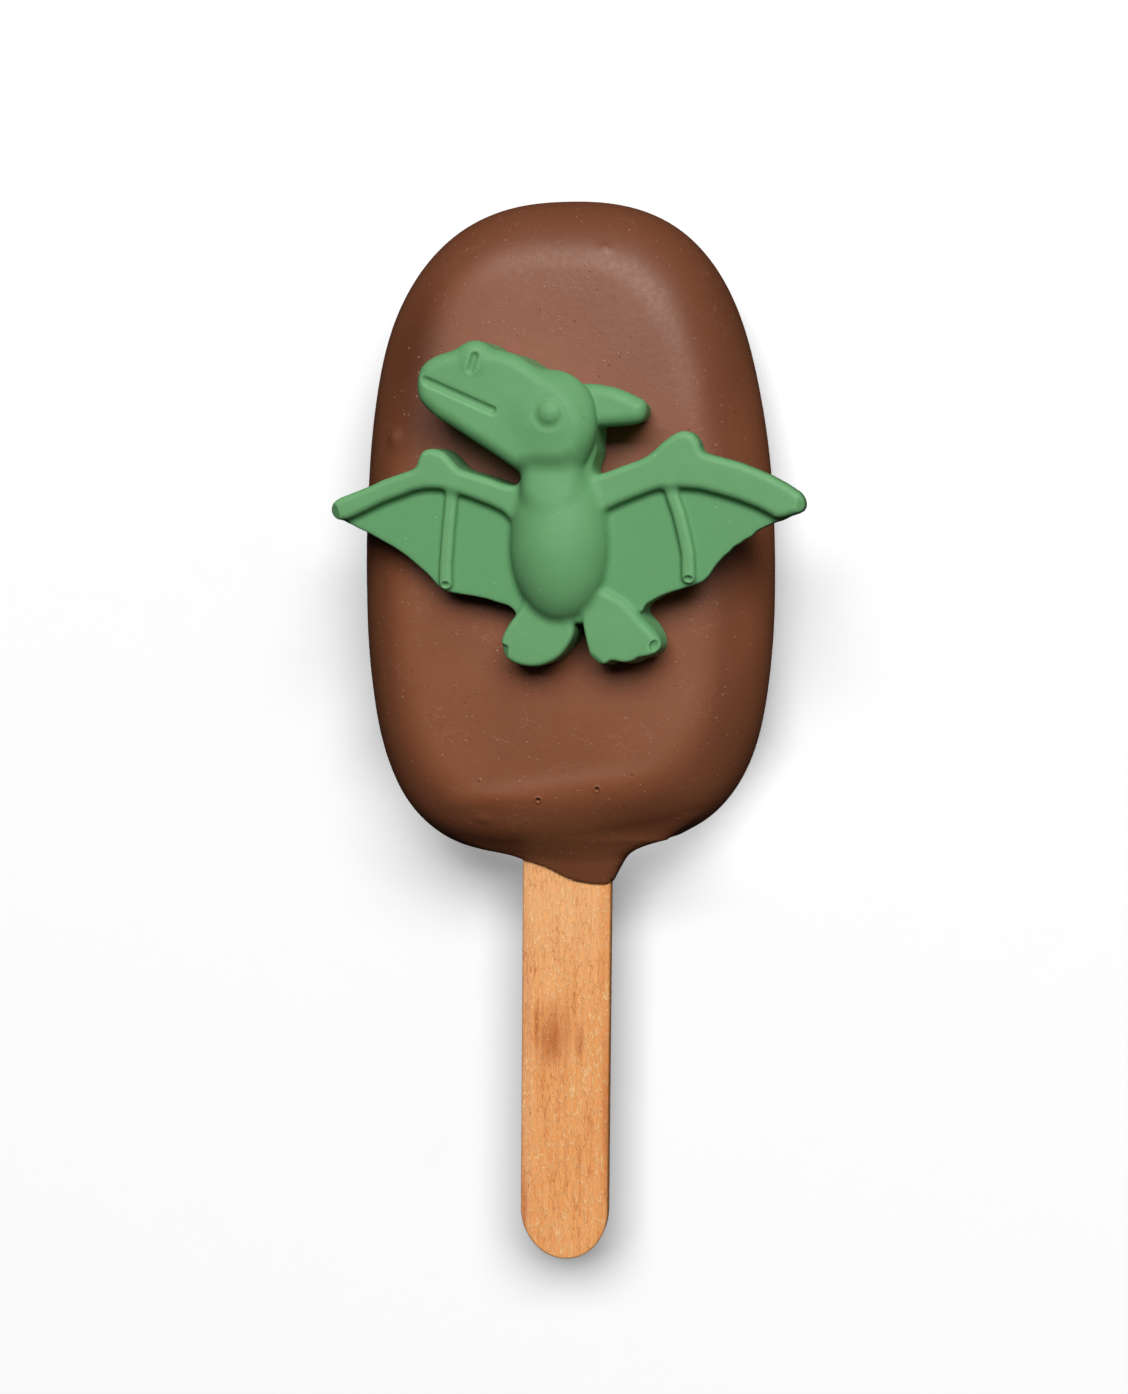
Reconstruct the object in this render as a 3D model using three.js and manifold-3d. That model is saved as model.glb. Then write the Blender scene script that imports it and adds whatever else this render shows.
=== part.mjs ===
// A cakesicle: a chocolate-coated cake bar on a flat wooden stick, with a green moulded
// pterodactyl resting on its crown. Millimetres, +Z up. The bar lies on its flat back, the
// origin is the centre of that back, and the stick points along -Y.

import * as THREE from 'three';
import { mergeVertices } from 'three/addons/utils/BufferGeometryUtils.js';
import Module from 'manifold-3d';

const wasm = await Module();
wasm.setup();

// ---------------------------------------------------------------- driving dimensions

const GAP = 0.3; // clearance between pieces that touch

// Bar: plan outline of four superellipse quarters that share one widest line.
const BAR_WIDTH = 47.0;
const BAR_ROUND_REACH = 44.6; // widest line to the round end, along +Y
const BAR_STICK_REACH = 30.8; // widest line to the stick end, along -Y
const WIDEST_LINE_Y = -7.0;
const ROUND_END_SQUARENESS = 2.8;
const STICK_END_SQUARENESS = { left: 3.05, right: 2.65 };
// Where the hand-dipped outline is fuller or leaner than that, as a share of its reach:
// direction seen from the middle of the widest line, anticlockwise from +X, and width of the
// bell, both in degrees.
const OUTLINE_SWELLS = [
  { towards: 0, width: 16, share: 0.013 },
  { towards: 22, width: 12, share: 0.004 },
  { towards: 49, width: 8, share: -0.007 },
  { towards: 90, width: 6, share: 0.006 },
  { towards: 107, width: 7, share: -0.005 },
  { towards: 125, width: 7, share: 0.009 },
  { towards: 143, width: 7, share: 0.004 },
  { towards: 176, width: 12, share: 0.008 },
  { towards: 212, width: 8, share: -0.007 },
  { towards: 243, width: 10, share: 0.013 },
  { towards: 287, width: 8, share: -0.026 },
  { towards: 315, width: 12, share: 0.018 },
];

// Bar: section. The back is flat, the widest level is low, the crown is gently domed.
const WIDEST_LEVEL = 7.5; // height of the widest level above the back
const SHOULDER_RISE = 11.5; // from the widest level to the edge of the crown
const CROWN_DOME = 1.5; // further rise of the crown to its middle
const SHOULDER_INSET = { side: 8.0, roundEnd: 9.0, stickEnd: 8.6 };
const SHOULDER_POWER = { side: 2.2, stickEnd: 1.6 };
const BACK_FILLET = 3.0;
const BACK_POWER = 2.3;

// Collar: chocolate that ran down the stick, with a slanted lip, longer on the right.
const LIP_Y = -39.35;
const LIP_SLANT = 1.55; // extra length at the right edge of the stick
const LIP_EASE = 0.3; // the slant lessens towards both edges
const COLLAR_WALL = 0.7; // chocolate beyond the edges of the stick
const COLLAR_COVER = 1.2; // chocolate over the flat faces of the stick
const COLLAR_ROOT_Y = -33.0; // inside the bar
const COLLAR_FLARE = {
  left: { reach: 0.8, spread: 0.8, power: 2 },
  right: { reach: 5.4, spread: 4.4, power: 4 },
  face: { reach: 7.0, spread: 2.8, power: 1 },
};
const COLLAR_SQUARENESS = 3.0;

// Stick: a flat wooden bar with two round ends, partly inside the chocolate, pushed in a
// little askew.
const STICK_LENGTH = 93.0;
const STICK_WIDTH = 10.4;
const STICK_END_REACH = 6.0; // how far along the stick a round end reaches
const STICK_THICKNESS = 2.0;
const STICK_TIP_Y = -85.6;
const STICK_X = 0.29; // of its middle
const STICK_TURN = THREE.MathUtils.degToRad(-0.47); // anticlockwise about its middle
const STICK_FLOOR = 9.5; // height of its lower face
const STICK_EDGE = 0.3; // softened edges

// Topper: moulded in one piece on a flat base, leaning to the left. Its own frame has its
// origin on the base, under the middle of the torso's length and width.
const TOPPER_ORIGIN = [2.44, 1.2, 20.6];
const TOPPER_LEAN = THREE.MathUtils.degToRad(3.0);
const ARM_TOP = 5.5;
const MEMBRANE_TOP = 4.3;
const FINGER_TOP = 5.1;
const FOOT_TOP = 4.8;
const CREST_TOP = 6.4;
const NECK_TOP = 6.6;
const HEAD_TOP = 8.3;
const SKULL_TOP = 8.9;
const TORSO_TOP = 8.5;

const WINGS = [
  {
    shoulder: [-3.6, 2.1],
    bow: [-14.5, 8.3],
    tip: [-25.3, 1.6],
    armHalfWidth: { shoulder: 1.5, wrist: 1.2, tip: 1.0 },
    knuckle: [[-14.2, 5.6, 1.9], [-14.3, 7.3, 1.15]],
    finger: [[-12.2, 3.9], [-13.1, -0.5], [-13.0, -6.3]],
    hem: { outer: [-24.7, 0.5], outerSag: [-17.6, -2.3], finger: [-13.2, -7.2],
      innerSag: [-8.6, -7.4], hip: [-5.4, -9.4] },
  },
  {
    shoulder: [3.4, 3.1],
    bow: [13.65, 8.85],
    tip: [25.0, 2.5],
    armHalfWidth: { shoulder: 1.9, wrist: 1.9, tip: 1.2 },
    knuckle: [[11.3, 6.6, 1.5], [13.4, 9.0, 1.05], [14.2, 6.6, 1.4]],
    finger: [[11.9, 4.2], [13.3, 0.2], [13.8, -5.6]],
    hem: { outer: [24.0, 1.0], outerSag: [17.6, -2.0], finger: [14.8, -6.1],
      innerSag: [11.6, -6.9], hip: [9.6, -8.4] },
  },
];
const FINGER_HALF_WIDTH = 0.65;
const FINGER_SCOOP = 0.6; // radius of the hollow at each fingertip

// The torso is an egg: longer from its widest line to the neck than to the hips.
const TORSO = { centre: [-0.3, -2.0], halfWidth: 5.5, halfHeight: 4.7,
  halfLength: { hips: 8.1, neck: 10.8 } };
const NECK = [[-0.8, 4.4, 3.3], [-0.8, 8.0, 3.5]];

// Head: discs of the skull, the brow and the snout, as [x, y, radius].
const HEAD = [[-1.2, 11.0, 5.3], [-6.9, 14.7, 4.1], [-12.0, 15.2, 3.2]];
const NOSE_BUMP = [[-8.65, 17.6, 1.95]];
const CREST = [[3.0, 13.0, 2.3], [5.3, 12.95, 1.95], [7.75, 12.35, 1.3]];
const SKULL = { centre: [-1.0, 11.5], radius: 4.9, halfHeight: 2.2 };
const EYE = { centre: [-0.55, 12.4], radius: 1.25, ringRadius: 1.75, rise: 0.4 };
const GROOVE_HALF_WIDTH = 0.4;
const MOUTH = { from: [-14.05, 15.5], to: [-6.75, 12.3], floor: 7.3 };
const NOSTRIL = { from: [-8.65, 18.0], to: [-9.15, 16.7], floor: 7.5 };

// Legs: a fan from the hip to the sole's discs, with toes that stand out a little further.
const LEFT_LEG = { hip: [-1.6, -9.0, 2.7], sole: [[-3.8, -12.1, 3.0], [-2.6, -12.1, 3.0]],
  toes: [] };
const RIGHT_LEG = {
  hip: [5.0, -8.5, 2.4],
  sole: [[4.3, -12.7, 1.3], [8.9, -11.9, 1.7]],
  toes: [[4.0, -13.8, 0.95], [6.9, -13.2, 1.25], [9.3, -12.4, 1.35]],
};
const LEG_FORK = [[-1.6, -9.0, 2.0], [1.6, -9.3, 1.35], [4.6, -8.8, 1.6]];

// Facet counts.
const BAR_AROUND = 72;
const BAR_RINGS = 22;
const COLLAR_AROUND = 40;
const COLLAR_STATIONS = 8;
const DISC_STEPS = 36;
const STROKE_STEPS = 14;

// ---------------------------------------------------------------- small helpers

/** A closed three.js geometry as a solid for cutting and joining. */
function solid(geometry) {
  const bare = geometry.clone();
  bare.deleteAttribute('normal');
  bare.deleteAttribute('uv');
  const merged = mergeVertices(bare, 1e-4);
  return new wasm.Manifold(new wasm.Mesh({
    numProp: 3,
    vertProperties: new Float32Array(merged.attributes.position.array),
    triVerts: new Uint32Array(merged.index.array),
  }));
}

/** A solid back as a three.js geometry. */
function geometryOf(body) {
  const mesh = body.getMesh();
  const geometry = new THREE.BufferGeometry();
  geometry.setAttribute('position', new THREE.BufferAttribute(mesh.vertProperties, 3));
  geometry.setIndex(new THREE.BufferAttribute(mesh.triVerts, 1));
  geometry.computeVertexNormals();
  return geometry;
}

/** Moves every vertex of a geometry through a function of its position. */
function reshape(geometry, place) {
  const position = geometry.attributes.position;
  const point = new THREE.Vector3();
  for (let i = 0; i < position.count; i += 1) {
    place(point.fromBufferAttribute(position, i));
    position.setXYZ(i, point.x, point.y, point.z);
  }
  return geometry;
}

const mix = THREE.MathUtils.lerp;
const wrap = (degrees) => ((degrees % 360) + 540) % 360 - 180; // into -180 to 180
const signedPower = (value, power) => Math.sign(value) * Math.abs(value) ** power;

// ---------------------------------------------------------------- bar

/** How much fuller than the ideal outline the bar is in the direction of a plan point. */
function swell(x, y) {
  const direction = THREE.MathUtils.radToDeg(Math.atan2(y, x));
  return OUTLINE_SWELLS.reduce((sum, { towards, width, share }) => (
    sum + share * Math.exp(-0.5 * (wrap(direction - towards) / width) ** 2)), 1);
}

/** Places a point of the unit sphere on the bar, swollen by a margin on all sides. */
function placeOnBar(point, margin) {
  const turn = Math.atan2(point.y, point.x);
  const level = 1 - (2 * Math.acos(THREE.MathUtils.clamp(point.z, -1, 1))) / Math.PI;
  const [cos, sin] = [Math.cos(turn), Math.sin(turn)];
  const towardsStick = sin < 0;
  const squareness = towardsStick
    ? STICK_END_SQUARENESS[cos < 0 ? 'left' : 'right'] : ROUND_END_SQUARENESS;
  const endShare = sin ** 4;
  const endInset = towardsStick ? SHOULDER_INSET.stickEnd : SHOULDER_INSET.roundEnd;
  const inset = mix(SHOULDER_INSET.side, endInset, endShare);
  const power = mix(SHOULDER_POWER.side,
    towardsStick ? SHOULDER_POWER.stickEnd : SHOULDER_POWER.side, endShare);

  // Down the section: crown, shoulder, back fillet and flat back.
  const crownFrom = 0.5;
  const shoulderFrom = -0.25;
  const filletFrom = -0.8;
  let step = 0; // how far the section has come in from the widest outline
  let height = 0;
  let share = 1; // share of the plan reached inside the crown or the back
  if (level > crownFrom) {
    share = (1 - level) / (1 - crownFrom);
    step = inset;
    height = WIDEST_LEVEL + SHOULDER_RISE;
  } else if (level > shoulderFrom) {
    const turnUp = ((level - shoulderFrom) / (crownFrom - shoulderFrom)) * (Math.PI / 2);
    step = inset * (1 - Math.max(Math.cos(turnUp), 0) ** (2 / power));
    height = WIDEST_LEVEL + SHOULDER_RISE * Math.sin(turnUp) ** (2 / power);
  } else if (level > filletFrom) {
    const turnDown = ((shoulderFrom - level) / (shoulderFrom - filletFrom)) * (Math.PI / 2);
    step = BACK_FILLET * (1 - Math.max(Math.cos(turnDown), 0) ** (2 / BACK_POWER));
    height = WIDEST_LEVEL * (1 - Math.sin(turnDown) ** (2 / BACK_POWER));
  } else {
    share = (level + 1) / (filletFrom + 1);
    step = BACK_FILLET;
  }

  const acrossReach = BAR_WIDTH / 2;
  const alongReach = towardsStick ? BAR_STICK_REACH : BAR_ROUND_REACH;
  const outline = (Math.abs(cos) ** squareness + Math.abs(sin) ** squareness)
    ** (-1 / squareness);
  const x = share * outline * (acrossReach - step + margin) * cos;
  const y = share * outline * (alongReach - step + margin) * sin;
  const spread = (Math.abs(x / acrossReach) ** squareness
    + Math.abs(y / alongReach) ** squareness) ** (1 / squareness);
  const upper = level > shoulderFrom;
  const dome = upper ? CROWN_DOME * (1 - spread ** 2) : 0;
  const fuller = swell(x, y);
  point.set(x * fuller, y * fuller + WIDEST_LINE_Y, height + dome + (upper ? margin : -margin));
}

function barGeometry(margin = 0) {
  const sphere = new THREE.SphereGeometry(1, BAR_AROUND, BAR_RINGS).rotateX(Math.PI / 2);
  return reshape(sphere, (point) => placeOnBar(point, margin));
}

/** How far the collar stands out beyond its lip, at a distance from that lip. */
function flare({ reach, spread, power }, distance) {
  return spread * Math.min(Math.max(distance / reach, 0), 1) ** power;
}

function collarGeometry() {
  const sleeve = new THREE.CylinderGeometry(1, 1, 1, COLLAR_AROUND, COLLAR_STATIONS);
  const stickHalf = STICK_WIDTH / 2;
  const middle = STICK_FLOOR + STICK_THICKNESS / 2;
  return reshape(sleeve, (point) => {
    const angle = Math.atan2(point.z, point.x);
    const radius = Math.hypot(point.x, point.z); // 0 on the axis of an end face, else 1
    const along = point.y + 0.5; // 0 at the lip, 1 at the root
    const across = radius * signedPower(Math.cos(angle), 2 / COLLAR_SQUARENESS);
    const lip = LIP_Y - LIP_SLANT * across + LIP_EASE * across ** 3;
    const y = mix(lip, COLLAR_ROOT_Y, along);
    const distance = y - lip;
    const side = across < 0 ? COLLAR_FLARE.left : COLLAR_FLARE.right;
    const halfWidth = stickHalf + COLLAR_WALL + flare(side, distance);
    const halfHeight = STICK_THICKNESS / 2 + COLLAR_COVER + flare(COLLAR_FLARE.face, distance);
    const up = radius * signedPower(Math.sin(angle), 2 / COLLAR_SQUARENESS);
    point.set(STICK_X + across * halfWidth, y, middle + up * halfHeight);
  });
}

// ---------------------------------------------------------------- stick

/** The stick, swollen by a margin on all sides. */
function stickGeometry(margin = 0) {
  const half = STICK_WIDTH / 2 + margin;
  const reach = STICK_END_REACH + margin;
  const run = STICK_LENGTH / 2 - STICK_END_REACH; // from the middle to where an end starts
  const outline = new THREE.Shape();
  outline.absellipse(0, -run, half, reach, Math.PI, 2 * Math.PI);
  outline.absellipse(0, run, half, reach, 0, Math.PI);
  outline.closePath();
  const thickness = STICK_THICKNESS + 2 * margin;
  const geometry = new THREE.ExtrudeGeometry(outline, {
    depth: thickness - 2 * STICK_EDGE,
    bevelThickness: STICK_EDGE,
    bevelSize: STICK_EDGE,
    bevelOffset: -STICK_EDGE,
    bevelSegments: 2,
    curveSegments: 18,
  });
  const floor = STICK_FLOOR - margin + STICK_EDGE;
  return geometry.rotateZ(STICK_TURN).translate(STICK_X, STICK_TIP_Y + STICK_LENGTH / 2, floor);
}

// ---------------------------------------------------------------- topper

/** The outline drawn tight round a set of discs [x, y, radius]. */
function discHull(discs, steps = DISC_STEPS) {
  const points = [];
  for (let i = 0; i < steps; i += 1) {
    const angle = (2 * Math.PI * i) / steps;
    const [cos, sin] = [Math.cos(angle), Math.sin(angle)];
    const reach = ([x, y, radius]) => x * cos + y * sin + radius;
    const [x, y, radius] = discs.reduce((far, disc) => (reach(disc) > reach(far) ? disc : far));
    points.push(new THREE.Vector2(x + radius * cos, y + radius * sin));
  }
  return new THREE.Shape(points);
}

/** A ribbon along a curve with a width of its own at each station and a round far end. */
function stroke(curve, halfWidth, steps = STROKE_STEPS) {
  const capSteps = 6;
  const near = [];
  const far = [];
  for (let i = 0; i <= steps; i += 1) {
    const along = i / steps;
    const centre = curve.getPoint(along);
    const tangent = curve.getTangent(along);
    const offset = new THREE.Vector2(-tangent.y, tangent.x).multiplyScalar(halfWidth(along));
    near.push(centre.clone().add(offset));
    far.push(centre.clone().sub(offset));
  }
  const end = curve.getPoint(1);
  const start = near[near.length - 1].clone().sub(end).angle();
  const cap = [];
  for (let i = 1; i < capSteps; i += 1) {
    const angle = start - (Math.PI * i) / capSteps;
    const turned = new THREE.Vector2(Math.cos(angle), Math.sin(angle));
    cap.push(end.clone().addScaledVector(turned, halfWidth(1)));
  }
  return new THREE.Shape([...near, ...cap, ...far.reverse()]);
}

/** A moulded slab from below the base up to a height, with a rounded upper edge. */
function moulded(shape, top, edge, rise = edge, segments = 2) {
  const sunk = rise + 0.5; // the lower edge lies below the base and is cut off
  const geometry = new THREE.ExtrudeGeometry(shape, {
    depth: top + sunk - 2 * rise,
    bevelThickness: rise,
    bevelSize: edge,
    bevelOffset: -edge,
    bevelSegments: segments,
    curveSegments: 10,
  });
  return solid(geometry.translate(0, 0, rise - sunk));
}

function ellipsoid([x, y], halfWidth, halfLength, halfHeight, top, detail = 24) {
  const sphere = new THREE.SphereGeometry(1, detail, detail / 2).rotateX(Math.PI / 2);
  return solid(sphere.scale(halfWidth, halfLength, halfHeight).translate(x, y, top - halfHeight));
}

/** The torso, its two ends stretched apart from the widest line. */
function torso() {
  const { centre: [x, y], halfWidth, halfHeight, halfLength } = TORSO;
  const detail = 30;
  const sphere = new THREE.SphereGeometry(1, detail, detail / 2).rotateX(Math.PI / 2);
  const egg = reshape(sphere, (point) => {
    point.y *= point.y > 0 ? halfLength.neck : halfLength.hips;
  });
  return solid(egg.scale(halfWidth, 1, halfHeight).translate(x, y, TORSO_TOP - halfHeight));
}

const curve2 = (from, bend, to) => new THREE.QuadraticBezierCurve(
  ...[from, bend, to].map(([x, y]) => new THREE.Vector2(x, y)),
);

function wing(spec) {
  const { shoulder, bow, tip, armHalfWidth, hem } = spec;
  const spine = curve2(shoulder, bow, tip);
  const armEdge = 0.7;
  const armWidth = (along) => (along < 0.5
    ? mix(armHalfWidth.shoulder, armHalfWidth.wrist, along * 2)
    : mix(armHalfWidth.wrist, armHalfWidth.tip, (along * 2 - 1) ** 3));
  const sheet = new THREE.Shape();
  sheet.moveTo(...shoulder);
  sheet.quadraticCurveTo(...bow, ...tip);
  sheet.lineTo(...hem.outer);
  sheet.quadraticCurveTo(...hem.outerSag, ...hem.finger);
  sheet.quadraticCurveTo(...hem.innerSag, ...hem.hip);
  sheet.lineTo(TORSO.centre[0], hem.hip[1] + 1);
  sheet.closePath();

  const [root, bend, end] = spec.finger;
  const scoop = new THREE.SphereGeometry(FINGER_SCOOP, 12, 8).translate(...end, FINGER_TOP);
  const rib = moulded(stroke(curve2(root, bend, end), () => FINGER_HALF_WIDTH, 8),
    FINGER_TOP, 0.5).subtract(solid(scoop));
  return moulded(stroke(spine, armWidth), ARM_TOP, armEdge)
    .add(moulded(discHull(spec.knuckle, 24), ARM_TOP, armEdge))
    .add(moulded(sheet, MEMBRANE_TOP, 0.3, 0.3, 1))
    .add(rib);
}

function leg({ hip, sole, toes }) {
  const footEdge = 0.7;
  return [sole, ...toes.map((toe) => [toe])]
    .map((discs) => moulded(discHull([hip, ...discs], 28), FOOT_TOP, footEdge))
    .reduce((all, one) => all.add(one));
}

/** A straight groove with round ends, open upwards from its floor. */
function groove({ from, to, floor }) {
  const outline = discHull([from, to].map(([x, y]) => [x, y, GROOVE_HALF_WIDTH]), 12);
  const clear = 6; // taller than anything above the floor
  const geometry = new THREE.ExtrudeGeometry(outline, { depth: clear, bevelEnabled: false });
  return solid(geometry.translate(0, 0, floor));
}

function head() {
  const { centre, radius, ringRadius, rise } = EYE;
  const ring = new THREE.TorusGeometry(ringRadius, 0.3, 8, 24).translate(...centre, SKULL_TOP);
  const skull = ellipsoid(SKULL.centre, SKULL.radius, SKULL.radius, SKULL.halfHeight, SKULL_TOP);
  return moulded(discHull(HEAD, 48), HEAD_TOP, 2.2, 2.4, 4)
    .add(moulded(discHull(NOSE_BUMP, 24), HEAD_TOP, 1.2))
    .add(moulded(discHull(CREST), CREST_TOP, 1.1, 1.4))
    .add(moulded(discHull(NECK), NECK_TOP, 1.5))
    .add(skull)
    .subtract(solid(ring))
    .add(ellipsoid(centre, radius, radius, radius, SKULL_TOP + rise, 16))
    .subtract(groove(MOUTH))
    .subtract(groove(NOSTRIL));
}

/** The topper in its own frame, cut flat below and clear of the crown it rests on. */
function topperGeometry(frame) {
  const reach = 80; // wider than the topper
  const under = new THREE.BoxGeometry(reach, reach, reach).translate(0, 0, -reach / 2);
  const crown = barGeometry(GAP).applyMatrix4(frame.matrix.clone().invert());
  const whole = WINGS.map(wing).reduce((all, one) => all.add(one))
    .add(leg(LEFT_LEG))
    .add(leg(RIGHT_LEG))
    .add(moulded(discHull(LEG_FORK, 28), FOOT_TOP, 0.7))
    .add(torso())
    .add(head())
    .subtract(solid(under))
    .subtract(solid(crown));
  return geometryOf(whole);
}

// ---------------------------------------------------------------- the whole object

const group = new THREE.Group();
group.name = 'cakesicle';

const chocolate = new THREE.MeshStandardMaterial({ color: 0x784a30, roughness: 0.42, metalness: 0 });
const wood = new THREE.MeshStandardMaterial({ color: 0xcf9864, roughness: 0.7, metalness: 0 });
const greenIcing = new THREE.MeshStandardMaterial({ color: 0x6aa672, roughness: 0.5, metalness: 0 });

const coated = solid(barGeometry())
  .add(solid(collarGeometry()))
  .subtract(solid(stickGeometry(GAP)));
const bar = new THREE.Mesh(geometryOf(coated), chocolate);
bar.name = 'chocolate_bar';
group.add(bar);

const stick = new THREE.Mesh(stickGeometry(), wood);
stick.name = 'wooden_stick';
group.add(stick);

const topperFrame = new THREE.Group();
topperFrame.position.set(...TOPPER_ORIGIN);
topperFrame.rotation.y = -TOPPER_LEAN;
topperFrame.updateMatrix();
const topper = new THREE.Mesh(topperGeometry(topperFrame), greenIcing);
topper.name = 'pterodactyl_topper';
topperFrame.add(topper);
group.add(topperFrame);

export default group;
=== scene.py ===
import logging
import math
from dataclasses import dataclass
from enum import Enum
from typing import Callable, Sequence

import bpy
import numpy as np
from mathutils import Matrix, Vector

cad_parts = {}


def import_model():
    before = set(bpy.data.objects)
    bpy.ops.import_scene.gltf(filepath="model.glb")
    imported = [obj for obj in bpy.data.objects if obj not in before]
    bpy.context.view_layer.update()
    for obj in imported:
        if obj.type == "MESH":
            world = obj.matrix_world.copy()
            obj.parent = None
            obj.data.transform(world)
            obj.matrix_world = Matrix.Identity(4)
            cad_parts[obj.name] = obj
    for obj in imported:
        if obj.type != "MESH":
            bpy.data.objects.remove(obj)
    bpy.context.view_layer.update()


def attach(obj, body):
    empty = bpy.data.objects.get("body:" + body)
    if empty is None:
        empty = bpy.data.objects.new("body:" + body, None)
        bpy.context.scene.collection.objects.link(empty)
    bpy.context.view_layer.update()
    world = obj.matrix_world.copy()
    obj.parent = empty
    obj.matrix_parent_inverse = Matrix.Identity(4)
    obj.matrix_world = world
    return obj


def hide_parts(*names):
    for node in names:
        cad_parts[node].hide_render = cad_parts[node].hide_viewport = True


# A cakesicle dressed for its portrait: a chocolate-coated cake bar on a flat wooden stick,
# with a green moulded pterodactyl on its crown. Sizes are millimetres in the part's own
# frame (+Z up, the stick along -Y), and only the finished meshes are in metres.

LOG = logging.getLogger("cakesicle")

Array = np.ndarray
Field = Callable[[Array, Array, Array], Array]
Point2 = tuple[float, float]
Point3 = tuple[float, float, float]
Disc = tuple[float, float, float]
Colour = tuple[float, float, float, float]
Tone = tuple[Point3, Point3, float]
Slab = tuple[float, float]
Socket = bpy.types.NodeSocket

MM = 0.001
BODY = "root"
TINY = 1e-9


# ------------------------------------------------------------------ fields and their skins

def join(first: Array, second: Array, fillet: float) -> Array:
    """Join two fields: the lesser, lowered where they lie closer than the fillet."""
    near = np.maximum(fillet - np.abs(first - second), 0.0) / fillet
    return np.minimum(first, second) - near ** 2 * fillet / 4


def carve(body: Array, tool: Array, softness: float) -> Array:
    """Cut a tool out of a body, with the edge of the cut rounded by the softness."""
    return -join(-body, tool, softness)


def strand(x: Array, y: Array, start: Disc, end: Disc) -> Array:
    """Distance to the outline drawn tight round two discs.

    The foot of the point on the centre line, moved along by how much the tangent leans,
    gives a disc whose radius runs evenly from one disc to the other.

    Args:
        x: Coordinates across.
        y: Coordinates along.
        start: Centre and radius of the first disc.
        end: Centre and radius of the second.

    Returns:
        Distances, negative inside.
    """
    run = math.hypot(end[0] - start[0], end[1] - start[1])
    ux, uy = (end[0] - start[0]) / run, (end[1] - start[1]) / run
    lean = (start[2] - end[2]) / run
    upright = math.sqrt(1 - lean ** 2)
    along = (x - start[0]) * ux + (y - start[1]) * uy
    across = np.abs((y - start[1]) * ux - (x - start[0]) * uy)
    share = np.clip((along * upright - across * lean) / (run * upright), 0, 1)
    return np.hypot(along - share * run, across) - (start[2] + share * (end[2] - start[2]))


def chain(x: Array, y: Array, discs: Sequence[Disc]) -> Array:
    """Distance to a row of strands from disc to disc, negative inside."""
    return np.minimum.reduce([strand(x, y, a, b) for a, b in zip(discs, discs[1:])])


def slab(plan: Array, height: Array, top: float | Array, edge: float | Array,
         draft: float = 0.0) -> Array:
    """Raise a flat outline to a height, with a quarter round along its upper edge.

    Args:
        plan: Distances to the outline, negative inside.
        height: Heights of the points.
        top: Height of the upper face.
        edge: Radius of the quarter round.
        draft: How far the wall leans out for each unit that it goes down.

    Returns:
        Values of the solid, negative inside.
    """
    across = plan + edge - draft * np.maximum(top - height, 0)
    up = height - top + edge
    outside = np.hypot(np.maximum(across, 0), np.maximum(up, 0))
    return outside + np.minimum(np.maximum(across, up), 0) - edge


def dome(x: Array, y: Array, z: Array, centre: Point3, half: Point3) -> Array:
    """Distance to an ellipsoid, near its skin.

    With k the length of the point over the half axes and g the length of it over their
    squares, the distance is k (k - 1) / g.

    Args:
        x: Coordinates across.
        y: Coordinates along.
        z: Heights.
        centre: Centre of the ellipsoid.
        half: Its three half axes.

    Returns:
        Distances, negative inside.
    """
    px, py, pz = x - centre[0], y - centre[1], z - centre[2]
    k = np.sqrt((px / half[0]) ** 2 + (py / half[1]) ** 2 + (pz / half[2]) ** 2)
    g = np.sqrt((px / half[0] ** 2) ** 2 + (py / half[1] ** 2) ** 2 + (pz / half[2] ** 2) ** 2)
    return k * (k - 1) / np.maximum(g, TINY)


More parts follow.
